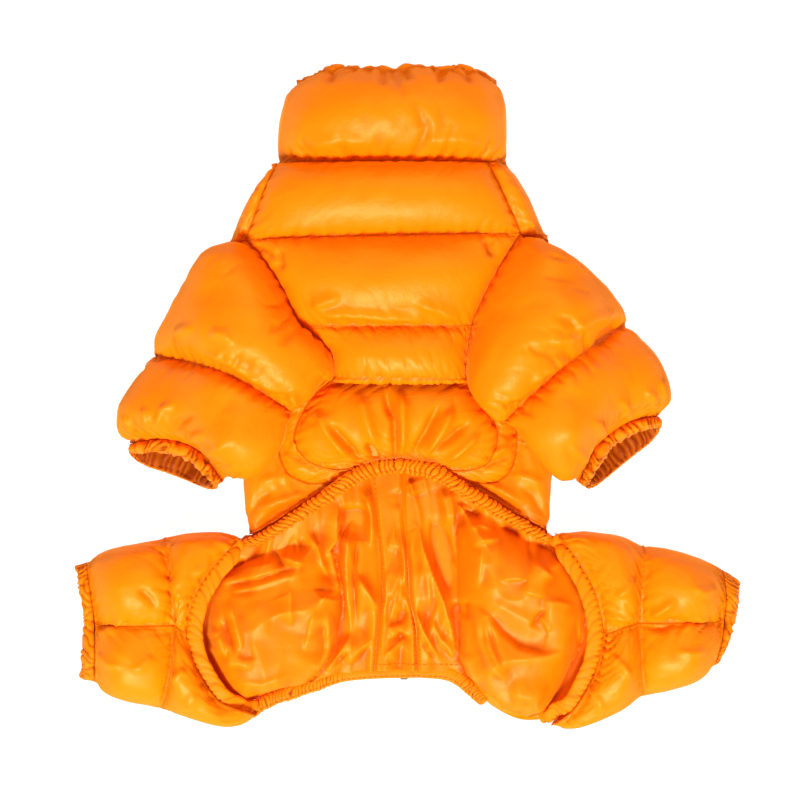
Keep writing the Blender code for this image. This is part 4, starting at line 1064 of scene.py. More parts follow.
legLook = {"uneven": 1.2, "ripple": 0.4, "spacing": 7.0, "depth": 1.5, "reach": 9.0}
bindingPuckers = {"seams": (0,), "spacing": 5.4, "depth": 3.4, "reach": 15.0, "round": 0.9}
slackPuckers = {"seams": (0,), "spacing": 4.2, "depth": 1.3, "reach": 9.0, "round": 1.0}
cuffPuckers = {"seams": (2,), "spacing": 5.0, "depth": 2.2, "reach": 9.0, "round": 1.0}
legFolds = {
    "Left": [
        (2.2, 1.2, -128, -106, -121, -100, -117, -92), (2.2, 1.0, -133, -118, -139, -112, -142, -104),
        (2.2, 1.4, -133, -132, -140, -134, -143, -140), (2.2, 1.4, -131, -158, -137, -164, -139, -170),
        (2.6, -1.2, -160, -110, -152, -118, -149, -126), (2.2, 1.2, -124, -172, -130, -180, -133, -186),
        (2.6, 1.0, -186, -140, -176, -136, -168, -130), (2.6, 1.0, -186, -150, -178, -156, -168, -158),
        (2.6, 1.0, -150, -150, -158, -158, -166, -160),
    ],
    "Right": [
        (2.2, 1.3, 122, -118, 130, -112, 137, -104), (2.2, 1.2, 118, -128, 130, -130, 139, -128),
        (2.4, 1.8, 144, -130, 152, -124, 160, -117), (2.4, -1.0, 141, -136, 152, -135, 164, -128),
        (2.2, 1.3, 120, -150, 128, -158, 133, -166), (2.2, 1.3, 108, -170, 114, -180, 116, -188),
        (2.4, 1.0, 182, -130, 172, -132, 162, -138), (2.6, 1.0, 178, -148, 168, -150, 158, -148),
        (2.4, 1.0, 186, -112, 176, -114, 168, -110),
    ],
}
fullest = [legRows[side][k] for side in ("Left", "Right") for k in (2, 5)]
places = bendPlaces([legControl(row, "fore")[0] for row in fullest], 1.3)
for side in ("Left", "Right"):
    for part in ("fore", "rear"):
        sections = [legSection(row, part, places) for row in legRows[side]]
        cloth = clothOf([q[0] for q in sections], [q[1] for q in sections], (0, 3, 7), step=1.25)
        # the left leg's rear panel turns sharply in to its binding, so its gathers are low
        first = slackPuckers if side + part == "Leftrear" else bindingPuckers
        seed = 15 + len(side) + len(part) + (part == "rear") * 3
        look = dict(legLook, seed=seed, puckers=(first, cuffPuckers))
        planPadded("leg" + part.capitalize() + side, "leg_%s_%s" % (part, side.lower()), cloth, look,
                   legFolds[side], 0.6)
print("legs made")

puffUp(paddedPieces)
stitchRuns = []
for name, plan in paddedPieces.items():
    creased(plan["cloth"])
    for row in plan["cloth"]["seamAt"][1:-1]:
        stitchRuns.append((plan["cloth"]["outer"][row], plan["cloth"]["normal"][row]))
    if plan["rim"]:
        rolledRim(plan["cloth"])
    piece = addPiece(name, shellMesh(name, plan["cloth"], shellNylon), plan["slot"], plan["node"])
print("padding puffed")


# elastic cuffs: tubes gathered round their mouths
def ringPleats(turns, along, count, seed, slant=0.0):
    # 0 at the foot of a gather and 1 on its crest, round a closed ring of count gathers
    angle = 2 * np.pi * turns
    place = np.stack([np.cos(angle) * count / 7, np.sin(angle) * count / 7, along / 9 + angle * 0], -1)
    phase = count * turns + 1.1 * softNoise(place, 1.0, seed) + slant * along
    own = 0.66 + 0.34 * softNoise(place * 1.9, 1.0, seed + 4)
    return own * np.abs(np.sin(np.pi * phase)) ** 0.55


def gatherTube(cloth, look):
    # pleats both faces of a tube together; the rows of stitches hold the gathers down
    columns = cloth["outer"].shape[1]
    turns = np.broadcast_to(np.arange(columns) / columns, cloth["along"].shape)
    length = cloth["along"][-1].mean()
    pleat = ringPleats(turns, cloth["along"], look["count"], look["seed"])
    held = np.ones_like(pleat)
    for share in look["stitchRows"]:
        held = held * (1 - 0.75 * np.exp(-((cloth["along"] - share * length) / 0.7) ** 2))
    # painted shade in the gathers' valleys and painted highlight on their crests, and an even painted shade
    # on the inner face
    cloth["deep"] = 1.15 - 2.2 * pleat
    cloth["insideDeep"] = look.get("inside", 0.45)
    lift = look["depth"] * (pleat - 0.8) * held * smoothStep(cloth["along"], -1.0, 1.5)
    lift += look["uneven"] * softNoise(cloth["outer"], 9.0, look["seed"])
    for layer, share in (("outer", 1.0), ("inner", 0.85)):
        cloth[layer] = onFloor(cloth[layer] + cloth["normal"] * (lift * share)[..., None],
                               (layer == "inner") * 0.5)
    return cloth


def addCuff(name, node, outer, inner, seams, look, gap, **cut):
    cloth = gatherTube(clothOf(outer, inner, seams, tube=True, step=0.8, gap=gap), look)
    rolledRim(cloth, count=5)
    piece = addPiece(name, shellMesh(name, cloth, gatheredNylon, skip=1), "elastic_edge", node)


cuffColumns = ("alongTop", "alongBottom", "height", "pad", "tuck")
cuffRows = rowsOf(cuffColumns, (
    (0.2, 0.4, 19, 2.8, 0.0), (2.5, 4.0, 24, 3.6, 0.0), (6.0, 9.0, 25, 3.8, 0.01),
    (9.0, 13.5, 22, 3.4, 0.03), (10.0, 15.5, 18, 2.6, 0.05)))
# inside: how much painted shade the cuff's inner face gets
sleeveCuffLook = {"count": 32, "depth": 3.2, "uneven": 0.6, "stitchRows": (0.12, 0.86), "inside": 0.75}

for side, seed in (("Left", 21), ("Right", 22)):
    bends = loopBends(75, 65, 0.75)
    outer, inner = [], []
    for cuff in cuffRows:
        row = dict(sleeveRows[side][-1], height=cuff["height"], pad=cuff["pad"], tuck=cuff["tuck"])
        isTop = bends <= topBends
        place = np.where(isTop, bends / 4 - 1, (bends - topBends) / 3.5 - 1)
        atEnd = 0.72 * cuff["alongTop"]
        along = np.where(isTop, cuff["alongTop"], cuff["alongBottom"]) - atEnd
        along = atEnd + along * np.sqrt(1 - np.clip(place ** 2, 0, 1))
        for grid, shrink in ((outer, 0.0), (inner, row["pad"])):
            loop = sleeveLoop(side, row, shrink, bends)
            loop[:, :2] += np.stack([cuffAxis[side][0] * along, cuffAxis[side][1] * along], -1)
            grid.append(loop)
    addCuff("sleeveCuff" + side, "sleeve_cuff_" + side.lower(), outer, inner, (0, 4),
            dict(sleeveCuffLook, seed=seed), False, flat=(0.150, 0.020))

legCuffShift = {"Left": ((-6.5, -2), (-9, 2)), "Right": ((10.4, -6), (3.4, 2))}
legCuffRows = rowsOf(("step", "crestZ", "pad"), ((0.05, 22, 2.6), (0.5, 24, 3.2), (1.0, 21, 2.4)))
legCuffLook = {"count": 50, "depth": 2.2, "uneven": 0.6, "stitchRows": (0.16, 0.84)}
for side, seed in (("Left", 23), ("Right", 24)):
    (foreX, foreY), (rearX, rearY) = legCuffShift[side]
    places = np.linspace(0, 8, timesThree(110, 0.75) + 1)
    outer, inner = [], []
    for cuff in legCuffRows:
        row = dict(legRows[side][-1], crestZ=cuff["crestZ"], seamZ=cuff["crestZ"] - 2, pad=cuff["pad"])
        for key, shift in (("foreX", foreX), ("foreY", foreY), ("rearX", rearX), ("rearY", rearY)):
            row[key] += shift * cuff["step"]
        fore, rear = legSection(row, "fore", places), legSection(row, "rear", places)
        for grid, layer in ((outer, 0), (inner, 1)):
            grid.append(np.concatenate([fore[layer], rear[layer][-2:0:-1]]))
    addCuff("legCuff" + side, "leg_cuff_" + side.lower(), outer, inner, (0, 2), dict(legCuffLook, seed=seed),
            True, flat=(0.200, 0.010), area=0.0017)
print("cuffs made")


# gathered casings: the arch, the leg bindings and the tail hem
def smoothPath(points, step):
    # Catmull-Rom curve through the points, then even steps along it
    points = np.array(points, float)
    ends = np.concatenate([[2 * points[0] - points[1]], points, [2 * points[-1] - points[-2]]])
    t = np.linspace(0, 1, 24, endpoint=False)[:, None]
    runs = []
    for a, b, c, d in zip(ends[:-3], ends[1:-2], ends[2:-1], ends[3:]):
        runs.append(0.5 * (2 * b + (c - a) * t + (2 * a - 5 * b + 4 * c - d) * t ** 2
                           + (3 * b - a - 3 * c + d) * t ** 3))
    line = np.concatenate(runs + [points[-1:]])
    gone = arcAlong(line)
    at = np.linspace(0, gone[-1], int(gone[-1] / step) + 1)
    return np.stack([np.interp(at, gone, line[:, k]) for k in range(3)], -1), at


def addCasing(name, node, points, look):
    # Cloth gathered on elastic: an oval section swept along its path, crossed by slanting
    # gathers, with a groove for each row of stitches and both ends drawn closed.
    line, at = smoothPath(points, look["step"])
    length = at[-1]
    ahead = unit(np.gradient(line, axis=0))
    beside = unit(np.cross(ahead, np.broadcast_to((0.0, 0.0, 1.0), ahead.shape)))
    above = np.cross(beside, ahead)
    angle = np.linspace(0, 2 * np.pi, look["around"], endpoint=False)
    share = at / length
    half = np.interp(share, *look["halfWidth"])[:, None]
    thick = np.interp(share, *look["halfThick"])[:, None]
    gathers = np.interp(share, *look.get("gathers", ((0, 1), (1.0, 1.0))))[:, None]
    slant = np.interp(share, *look["slant"])[:, None]
    place = at[:, None] + slant * half * np.cos(angle)
    wander = np.stack([place, np.cos(angle) * half, place * 0 + np.sin(angle) * 2], -1)
    phase = place / look["spacing"]
    phase = phase + look.get("stray", 0.95) * softNoise(wander, look["spacing"] * 1.7, look["seed"])
    own = 0.62 + 0.38 * noiseLine(np.floor(phase) * 5.1, 1.0, look["seed"] + 2)
    sine = np.abs(np.sin(np.pi * phase))
    pleat = own * sine ** 0.45 - 0.62
    pleat += 0.16 * softNoise(wander, look["spacing"] * 0.45, look["seed"] + 5)
    held = np.ones_like(pleat)
    for groove in look["grooves"]:
        held = held * (1 - 0.45 * np.exp(-((np.cos(angle) - groove) / 0.13) ** 2)
                       * smoothStep(np.sin(angle), -0.2, 0.2))
    wander = np.stack([place, place * 0 + np.cos(angle) * 4, place * 0], -1)
    wave = 1 + 0.10 * softNoise(wander, 10.0, look["seed"])
    lift = look["depth"] * gathers * pleat * held
    lift -= 0.35 * (1 - held)
    closing = np.clip(np.minimum(at, length - at) / 3.0, 0, 1)[:, None]
    closing = np.sqrt(1 - (1 - closing) ** 2) * 0.96 + 0.04
    square = look.get("square", 1.0)
    cosine = np.sign(np.cos(angle)) * np.abs(np.cos(angle)) ** square
    sineZ = np.sign(np.sin(angle)) * np.abs(np.sin(angle)) ** square
    if "edge" in look:
        # the stitched side: short puckers square to the seam, drawn down by the thread
        edge = look["edge"]
        along = at[:, None] / edge["spacing"] + 0.4 * noiseLine(at, 9.0, look["seed"])[:, None]
        stitched = np.exp(-((np.cos(angle) - edge["at"]) / 0.42) ** 2)
        trough = np.abs(np.sin(np.pi * along)) ** 0.7 - 1
        lift = lift + edge["depth"] * trough * stitched
    outX = (half * wave + lift) * cosine * closing
    outZ = (thick * wave + lift) * sineZ * closing
    grid = onFloor(line[:, None] + beside[:, None] * outX[..., None] + above[:, None] * outZ[..., None])
    rows, columns = grid.shape[:2]
    caps = [list(range(columns))[::-1], list(range((rows - 1) * columns, rows * columns))]
    row, column = np.indices((rows - 1, columns))
    corners = ((0, 0), (1, 0), (1, 1), (0, 1))
    uv = np.stack([np.stack([(column + k) * 0.8, at[row + j]], -1) for k, j in corners], -2)
    cap = np.stack([np.cos(angle), np.sin(angle)], -1) * 2
    # painted shade in the gathers' valleys, in the stitch grooves and in the pucker troughs, and painted
    # highlight on the gathers' crests
    depth = (np.clip(1 - sine / 0.5, 0, 1) * 1.5 - 0.25 * own) * np.broadcast_to(gathers, pleat.shape)
    depth = depth * look.get("shade", 1.0) + 0.4 * (1 - held)
    if "edge" in look:
        depth = depth + 1.1 * stitched * np.clip(-trough - 0.35, 0, 1)
    mesh = meshOf(name, grid, quadsOf(rows, columns).tolist() + caps, gatheredNylon)
    markCloth(mesh, (uv, cap, cap), (np.clip(depth, -1, 1),))
    for groove in look["grooves"] + ((look["edge"]["at"],) if "edge" in look else ()):
        column = int(np.argmin(np.abs(np.cos(angle) - groove) + (np.sin(angle) < 0)))
        outward = unit(grid[:, column] - line)
        run = boxMean(grid[:, column][:, None], 3, False)[:, 0] + outward * 0.25
        stitchRuns.append((run[8:-8], outward[8:-8]))
    piece = addPiece(name, mesh, "elastic_edge", node)


archLook = {"step": 0.38, "around": 32,
            "halfWidth": ((0, 0.2, 0.38, 0.55, 0.8, 1), (3.6, 4.2, 5.2, 5.4, 4.3, 3.6)),
            "halfThick": ((0, 1), (3.4, 3.4)), "spacing": 3.2,
            "slant": ((0, 0.35, 0.5, 0.65, 1), (-0.9, -0.35, 0.05, 0.35, 0.9)), "depth": 3.0,
            "grooves": (-0.5, 0.55), "stray": 0.6, "seed": 31}
addCasing("archElastic", "belly_elastic", arch, archLook)

bindingLook = {"step": 0.45, "around": 32, "halfWidth": ((0, 0.12, 0.5, 0.9, 1), (4.0, 4.8, 4.8, 4.6, 3.4)),
               "halfThick": ((0, 1), (1.9, 1.9)), "spacing": 8.0, "depth": 0.6, "grooves": (), "shade": 0.3,
               "square": 0.62, "seed": 33}
bindingEnds = {   # where each binding runs into the arch above and the tail hem below
    "Left": (((-99, -85.5, 18), (-105, -89, 19)), ((-103, -183, 17), (-97, -186, 14), (-90, -184, 11))),
    "Right": (((87, -83, 18), (93, -87, 19)), ((90, -186.5, 17), (85.5, -191.5, 13), (80, -192, 9))),
}
bindingOffset = elasticRadius - 0.2
for side, towards, seed in (("Left", 1, 33), ("Right", -1, 34)):
    row = legRows[side][0]
    share = np.linspace(0.1, 0.88, 10)
    x, y = legPlace(row, share)
    slope = row["bow"] * 4 * (1 - 2 * share) / (row["rearY"] - row["foreY"])
    x = x + towards * bindingOffset * np.sqrt(1 + slope ** 2)
    above, below = bindingEnds[side]
    path = [*above, *np.stack([x, y, 21.0 + 5.0 * np.sin(np.pi * share)], -1), *below]
    look = dict(bindingLook, seed=seed, slant=((0, 1), (0.9 * towards, 0.9 * towards)),
                edge={"spacing": 3.6, "depth": 1.0, "at": 0.8 * towards})
    addCasing("legBinding" + side, "leg_binding_" + side.lower(), path, look)

hemLine = ((-90, -185.5), (-78, -180), (-62, -174.8), (-50, -170.6), (-38, -167.6), (-20, -166.2),
           (-4, -165.8), (12, -165.8), (22, -166.0), (30, -168.6), (39, -175.5), (48, -183.5))
hemLook = {"step": 0.45, "around": 28,
           "halfWidth": ((0, 0.3, 0.45, 0.7, 0.8, 1), (4.6, 4.6, 3.2, 3.2, 4.4, 4.6)),
           "halfThick": ((0, 0.3, 0.42, 0.8, 1), (3.9, 3.6, 1.4, 1.4, 3.2)), "square": 0.75,
           "gathers": ((0, 0.33, 0.44, 0.82, 0.9, 1), (1, 1, 0.10, 0.06, 1, 1)),
           "spacing": 2.3, "slant": ((0, 1), (0.3, 0.3)), "depth": 1.5, "grooves": (0.35,), "seed": 36}
hemPath = [(-97, -191, 8.0)] + [(x, y, 7.6 + 1.2 * math.exp(-((x + 14) / 30) ** 2)) for x, y in hemLine]
addCasing("tailHem", "tail_hem", hemPath, hemLook)
print("casings made")

# rump padding and linings
rumpRear = {
    "Left": (
        (-7.3, -161), (-21, -161.5), (-42, -163), (-52, -166.5), (-64, -171), (-78, -175.5), (-92, -180),
        (-105, -184),
    ),
    "Right": (
        (3.3, -161), (12, -161), (24, -161.5), (32, -164), (40, -172), (52, -184), (74, -192), (94, -187),
    ),
}
rumpShares = np.array((0.0, 0.06, 0.15, 0.3, 0.5, 0.7, 0.82, 0.9, 0.95))
rumpStartY, rumpPad, legGap, panelSpan = -81.6, 8.0, 0.7, 90


def rumpPlan(side):
    # plan grid of the rump panel: front to rear, and from the zip out to the leg
    row, rear = legRows[side][0], np.array(rumpRear[side])
    sign = -1 if side == "Left" else 1
    front = np.stack([rear[:, 0], np.full(len(rear), rumpStartY)], -1)
    front[-1] = (row["foreX"] - sign * 0.9, rumpStartY - 0.6)
    front[1:-1, 0] = np.interp(np.arange(1, len(rear) - 1), (0, len(rear) - 1), (front[0, 0], front[-1, 0]))
    grid = front[None] + (rear - front)[None] * (rumpShares / rumpShares[-1])[:, None, None]
    edgeX, edgeY = legPlace(row, rumpShares)
    edge = np.stack([edgeX - sign * legGap, edgeY], -1)
    edge[0] = front[-1]
    pull = np.clip(np.linspace(-0.6, 1, len(rear)), 0, 1)
    return grid + (edge - grid[:, -1])[:, None] * pull[None, :, None]


def finePlan(grid, step):
    # monotone cubic in both directions, about one step between points
    for turn in range(2):
        hops = np.linalg.norm(np.diff(grid, axis=0), axis=2).mean(1)
        places = np.concatenate([[0], np.cumsum(hops)])
        grid = easeThrough(places, grid, np.linspace(0, places[-1], timesThree(places[-1], step) + 1))
        grid = grid.transpose(1, 0, 2)
    return grid


domes = {
    "Left": (
        (-112, -106), (-117.5, -117), (-120.5, -131.5), (-122, -143.5), (-120.5, -152.5), (-116.5, -160),
        (-111.5, -169.5), (-106.5, -175.5), (-99.5, -179), (-87.5, -180.5), (-74.5, -179), (-64.5, -173.5),
        (-55, -166.5), (-47.5, -155.5), (-43, -142.5), (-39.5, -125.5), (-41.5, -113.5), (-49.5, -106.5),
        (-57, -88), (-70, -88), (-84, -92), (-99, -99),
    ),
    "Right": (
        (29.5, -62.5), (30.5, -95.5), (31, -113.5), (30.5, -131.5), (31.5, -155.5), (36.5, -167.5),
        (42.5, -176), (47, -183.5), (53, -188), (64, -191.5), (73.5, -191), (81.5, -189.5), (86.5, -183.5),
        (92.5, -173.5), (98.5, -161.5), (103.5, -151), (106.5, -140.5), (107.5, -128.5), (105.5, -116.5),
        (100.5, -104.5), (95, -94), (88.5, -88.5), (73.5, -83.5), (58.5, -74), (43.5, -67), (32.5, -61),
    ),
}
domeRise = {"Left": 18.0, "Right": 20.0}


def insideDistance(points, outline):
    # distance from a closed outline, positive inside it
    outline = np.array(outline, float)
    ends = np.roll(outline, -1, 0)
    run = ends - outline
    offset = points[..., None, :2] - outline
    t = np.clip((offset * run).sum(-1) / (run ** 2).sum(-1), 0, 1)
    distance = np.linalg.norm(offset - t[..., None] * run, axis=-1).min(-1)
    x, y = points[..., 0, None], points[..., 1, None]
    crosses = (outline[:, 1] > y) != (ends[:, 1] > y)
    with np.errstate(divide="ignore", invalid="ignore"):
        at = outline[:, 0] + (y - outline[:, 1]) * run[:, 0] / run[:, 1]
    inside = (np.where(crosses, at > x, False).sum(-1) % 2) == 1
    return np.where(inside, distance, -distance)


def domeZ(side, points, shoulder=22.0):
    # the thigh's dome: (1 - (1 - t)^2)^p from its outline to the shoulder width; p is 0.6 at
    # the rear, where it hangs over the hem, and 1.1 where it eases into the folds in front
    t = np.clip(insideDistance(points, domes[side]) / shoulder, 0, 1)
    inFront = smoothStep(points[..., 1], -165, -120) * (1 - smoothStep(np.abs(points[..., 0]), 75, 100))
    power = 0.6 + 0.5 * inFront
    return domeRise[side] * (1 - (1 - t) ** 2) ** power


for side, seed in (("Left", 41), ("Right", 42)):
    plan = finePlan(rumpPlan(side), 1.6)
    rows, columns = plan.shape[:2]
    across = np.linspace(0, panelSpan, columns)[None]
    along = np.linspace(0, panelSpan, rows)[:, None]
    rim = np.minimum(np.minimum(across, panelSpan - across), np.minimum(along, panelSpan - along))
    quilt = np.min([np.abs(plan[..., 1] - y) for y in (rumpStartY, -121.0, -161.0)], axis=0)
    under = 3.2 * np.exp(-(quilt / 3.5) ** 1.4) + 2.0 * np.exp(-(rim / 3.0) ** 1.4) + floorRest
    under += zipEdgeZ * np.exp(-(across / 4.0) ** 2) * 0.8
    top = rumpPad - 3.2 + domeZ(side, plan) * 0.8
    top = np.where(rim < 1.0, np.minimum(top, under + edgeWall), top)
    top = np.maximum(top, under + edgeWall * 0.8)
    cloth = clothOf(np.dstack([plan, under]), np.dstack([plan, top]), (0, rows - 1), step=1.6)
    cloth["outer"][..., 2] += 0.5 * np.abs(softNoise(cloth["outer"], 9.0, seed))
    name = "rump" + side
    piece = addPiece(name, shellMesh(name, cloth, shellNylon), "shell", "rump_" + side.lower())

facingEdge = {
    "Left": ((-170, -160.6, -135, -120, -96, -66, -49, -36), (-20.2, -20.0, -17, -15, -16, -19, -21, -21)),
    "Right": ((-170, -160.6, -138, -120, -96, -72, -49, -36), (6.2, 6, 5, 1, 0, -3, -3, -3)),
}
liningWall, liningSeed, rumpStartZ, borderZ, borderGap = 0.9, 51, 9.3, 9.9, 0.01


def edgeOfFacing(side, y):
    # the facing's edge in plan; it narrows towards the front
    return np.interp(y, *facingEdge[side])


rearFolds = {
    "sideLeft": [
        (1.2, -3, 1.3, -81.5, -89.5, -77, -95.5, -73, -102.5),
        (2.5, 2.5, 1.2, -76.5, -93.5, -68, -96.5, -61, -98),
        (0.9, -2, 1.5, -68.5, -84.5, -68, -89.5, -67.5, -94.5),
        (0.9, -2.2, 1.5, -65.5, -81.5, -65, -88.5, -64.5, -95.5),
        (2, 3, 1.2, -61.5, -78.5, -54.5, -88, -51.5, -98.5, -47, -107.5),
        (3.6, -3, 1.8, -38, -61.5, -37, -74.5, -40.5, -86.5),
        (2.2, -3, 1.8, -44, -91.5, -43, -101.5, -43, -112.5),
        (2.4, 4.6, 1.1, -32.5, -67.5, -36.5, -83.5, -37.5, -98.5, -36.5, -119.5, -34, -142),
        (2.6, -2.4, 1.6, -29.5, -79, -32, -98.5, -32, -119.5, -30.5, -137.5),
        (2.5, 3, 1.3, -30.5, -52.5, -25, -59.5, -22, -70, -22, -91),
        (2.2, 2.6, 1.2, -31.5, -103.5, -23.5, -116, -16.5, -128),
        (2, 3, 1.2, -33.5, -140, -40.5, -152.5, -50.5, -165.5),
        (1.3, -2, 1.4, -35.5, -151, -41.5, -158, -46.5, -163),
        (2.6, 2.2, 1.4, -37.5, -161, -30.5, -152.5, -19.5, -143.5),
        (0.9, -2.4, 1.6, -20.5, -49, -19, -62.5, -18.5, -83.5, -17, -101.5, -16, -115, -16, -125.5,
         -16.5, -133),
        (1.2, -2, 1.4, -18.5, -140, -16, -148.5, -20, -157.5),
    ],
    "domeLeft": [
        (1.7, -1.6, 1.5, -113.5, -112, -92, -108, -73.5, -102, -58, -99),
        (2.4, 1.3, 1.5, -112, -116, -92, -112, -73.5, -106, -60, -104),
        (2.3, 1.9, 1.3, -107.5, -118.5, -103, -131.5, -98, -151),
        (2.4, -1.6, 1.6, -112, -123.5, -106.5, -140, -102.5, -154),
        (2, 1.9, 1.4, -118, -134, -112, -143.5, -108.5, -155.5),
        (1.6, -1, 1.5, -115, -131.5, -110, -139, -106.5, -148.5),
        (1.9, 1.3, 1.2, -74.5, -110.5, -70, -114.5, -69.5, -137),
        (2.3, 1.5, 1.4, -55.5, -124.5, -59, -140.5, -62, -152.5),
        (3, -2.2, 1.7, -50.5, -130.5, -50.5, -149.5, -54.5, -163),
        (1.5, -3.6, 1.5, -46, -125.5, -43.5, -140.5, -46, -154.5),
        (1.5, 1.6, 1.3, -47.5, -124.5, -47, -135.5, -48.5, -147.5),
        (1.1, -2.2, 1.4, -58, -112.5, -49.5, -115, -40, -115),
        (1.7, 1.7, 1.3, -54.5, -116.5, -46.5, -119.5, -38.5, -122.5),
        (2.6, 1.3, 1.5, -111.5, -158, -100.5, -157, -91, -160.5),
        (3.2, 1, 1.6, -106.5, -168.5, -87.5, -170.5, -67, -163),
        (2.2, -1, 1.5, -103, -152, -97, -153.5, -89.5, -153.5),
        (1.3, -2.2, 1.4, -53, -160, -56.5, -167, -61, -173),
        (1.7, -4, 1.6, -122, -141.5, -119.5, -147.5, -115.5, -149.5),
        (5, 0.9, 1.8, -94.5, -119.5, -87.5, -127, -83.5, -143.5),
        (3, -0.9, 1.6, -111.5, -113.5, -100.5, -115, -87.5, -113.5),
        (2.6, 1.4, 1.4, -100.5, -99.5, -87.5, -99.5, -76.5, -95.5),
        (1.8, -1.8, 1.4, -110, -105.5, -101.5, -100.5, -98, -95.5),
    ],
    "sideRight": [
        (2, 4.2, 1.05, 1, -72.5, 6.5, -76.5, 10, -91, 15.5, -106, 21.5, -121, 26, -136, 29.5, -149.5,
         31.5, -158),
        (3.2, -3, 1.6, 13.5, -68.5, 17.5, -88.5, 23, -107.5, 28, -124.5),
        (1.3, -2.4, 1.4, 21.5, -76, 26, -89, 30.5, -103.5),
        (3, 2.2, 1.6, 20.5, -52.5, 23.5, -64.5, 25, -77.5),
        (1.6, 3, 1.1, 2, -121.5, 10, -140, 17.5, -154, 20.5, -160),
        (1.2, -1.8, 1.4, 7.5, -145, 12.5, -152, 17, -158),
        (1.6, 1.7, 1.2, 13.5, -130.5, 19.5, -143.5, 26, -154),
        (1.2, 1.4, 1.2, 20, -142.5, 24.5, -149.5, 28, -158),
        (3.6, 1.8, 1.6, 9.5, -95.5, 12.5, -113.5, 14, -130), (1.8, 2, 1.3, 0.5, -47.5, 2.5, -53, 4, -59),
        (2.4, -1.8, 1.6, 31.5, -119.5, 31, -137.5, 33.5, -155.5),
    ],
    "domeRight": [
        (3.4, -2.2, 1.7, 36.5, -119.5, 49.5, -127, 57.5, -137.5, 67.5, -145.5, 82.5, -149.5, 96.5, -148.5),
        (5.5, 1.3, 1.8, 42.5, -117.5, 58.5, -125.5, 73.5, -133, 86.5, -135.5),
        (1.1, -3, 1.4, 71.5, -83, 73, -89.5, 73.5, -97), (1.7, 1.7, 1.2, 73.5, -95, 80.5, -100, 89, -107),
        (2.3, 1.7, 1.3, 39.5, -122, 42.5, -143.5, 49.5, -158, 56.5, -165.5, 57.5, -172.5),
        (2.2, -1.3, 1.5, 47, -131.5, 52.5, -148.5, 58, -160.5),
        (1.8, 1.2, 1.3, 45.5, -130.5, 48.5, -146.5, 55.5, -160.5),
        (1.7, -5, 1.6, 101.5, -129.5, 103, -146.5, 97, -165.5),
        (2.5, 1.6, 1.4, 37.5, -87.5, 44.5, -83.5, 56.5, -82.5),
        (2.4, 1.5, 1.2, 45.5, -85, 43.5, -98.5, 41.5, -115),
        (1.6, 1.1, 1.2, 54.5, -107.5, 62.5, -106, 72.5, -106.5),
        (2.5, 1.2, 1.5, 79.5, -119.5, 90.5, -120.5, 101.5, -123.5),
        (2.2, 1, 1.4, 66.5, -112.5, 74.5, -115, 84.5, -117.5),
        (1.6, -1.1, 1.3, 72.5, -136.5, 77.5, -129.5, 83, -124),
        (1.5, 0.9, 1.3, 77, -128, 82.5, -133, 84.5, -140),
        (1.7, -2.6, 1.5, 36.5, -119.5, 37, -125.5, 36.5, -134),
        (1.6, 1.6, 1.3, 31.5, -152, 36.5, -163, 41.5, -175),
        (1.1, -1.8, 1.3, 34, -157, 36.5, -165.5, 39.5, -173.5),
        (4, 1, 1.7, 58.5, -173.5, 73.5, -178, 86.5, -173.5),
        (2.2, -1.8, 1.5, 76.5, -86.5, 86.5, -91, 92.5, -97),
        (1.8, -2.2, 1.5, 55.5, -75.5, 62.5, -79.5, 70, -81.5),
        (2, -1.8, 1.5, 32.5, -64.5, 38.5, -68, 47, -67), (2.6, 1.4, 1.4, 35, -77.5, 43.5, -74, 52, -77.5),
    ],
    "facing": [
        (1.3, -3, 1.5, -4.5, -52.5, -4, -59.5, -4, -68),
        (1.8, 3.2, 1.1, -5, -76.5, -2, -95.5, 1, -115, 2, -123.5),
        (0.9, -2.4, 1.4, -1, -109, -0.5, -115, -0.5, -121),
        (1.3, -3.4, 1.4, 0.5, -72.5, 9.5, -61.5, 18.5, -52.5),
        (2.2, 2.6, 1.2, -4.5, -76.5, 3.5, -65.5, 16, -52),
        (1.8, 1.6, 1.4, -11.5, -144.5, -4.5, -139, 2.5, -143.5),
        (2, 1.8, 1.4, -14.5, -155, -7.5, -149.5, -1, -143.5),
        (2.2, -1.6, 1.6, -14, -136.5, -4.5, -134, 1, -127),
        (5, 1.2, 1.8, -14, -104.5, -8, -106.5, -2, -109), (3.5, 0.9, 1.8, -13, -86.5, -7, -88, -3.5, -86.5),
        (3.5, -0.8, 1.8, -14, -119.5, -8, -121.5, -2, -118.5),
    ],
    "stepsLeft": [
        (11, 5, -38.5, -124.5, -42.5, -104.5, -46, -90.5, -41.5, -84.5, -41.5, -61),
    ],
    "stepsFacing": [
        (7, 2.2, -20.5, -49, -19, -62.5, -18.5, -83.5, -17, -101.5, -15.5, -115, -15.5, -125.5, -16.5, -133),
    ],
}


def stepRelief(points, steps):
    # One cloth edge lying over the next: raised on the path's left, sinking away from it. Each
    # step is its width and height, then x, y of its path.
    total = np.zeros(points.shape[:-1])
    for width, height, *path in steps:
        distance, side, share = nearPath(points, path)
        signed = np.sign(side) * distance
        fade = smoothStep(share, 0.0, 0.2) * (1 - smoothStep(share, 0.8, 1.0))
        total += height * fade * smoothStep(signed, -0.4, 0.9) * np.exp(-np.maximum(signed, 0) / width)
    return total


def hangingFolds(points, seed):
    # Thin cloth drawn together between the arch and the hem: long crisp folds that wander
    # from front to rear between the thighs, and broad facets over them.
    x, y = points[..., 0], points[..., 1]
    flat = np.stack([x + 7 * softNoise(points, (46, 38, 50), seed), y, x * 0], -1)
    inside = np.maximum(insideDistance(points, domes["Left"]), insideDistance(points, domes["Right"]))
    thigh = smoothStep(inside, -3, 12)
    long = 2.3 * facets(flat, (14, 80, 1), seed) + 0.55 * facets(flat, (5, 34, 1), seed + 3)
    broad = 1.8 * facets(points, (32, 28, 60), seed + 5) + 0.35 * facets(points, (12, 15, 60), seed + 6)
    return long * (1 - thigh) + broad * thigh


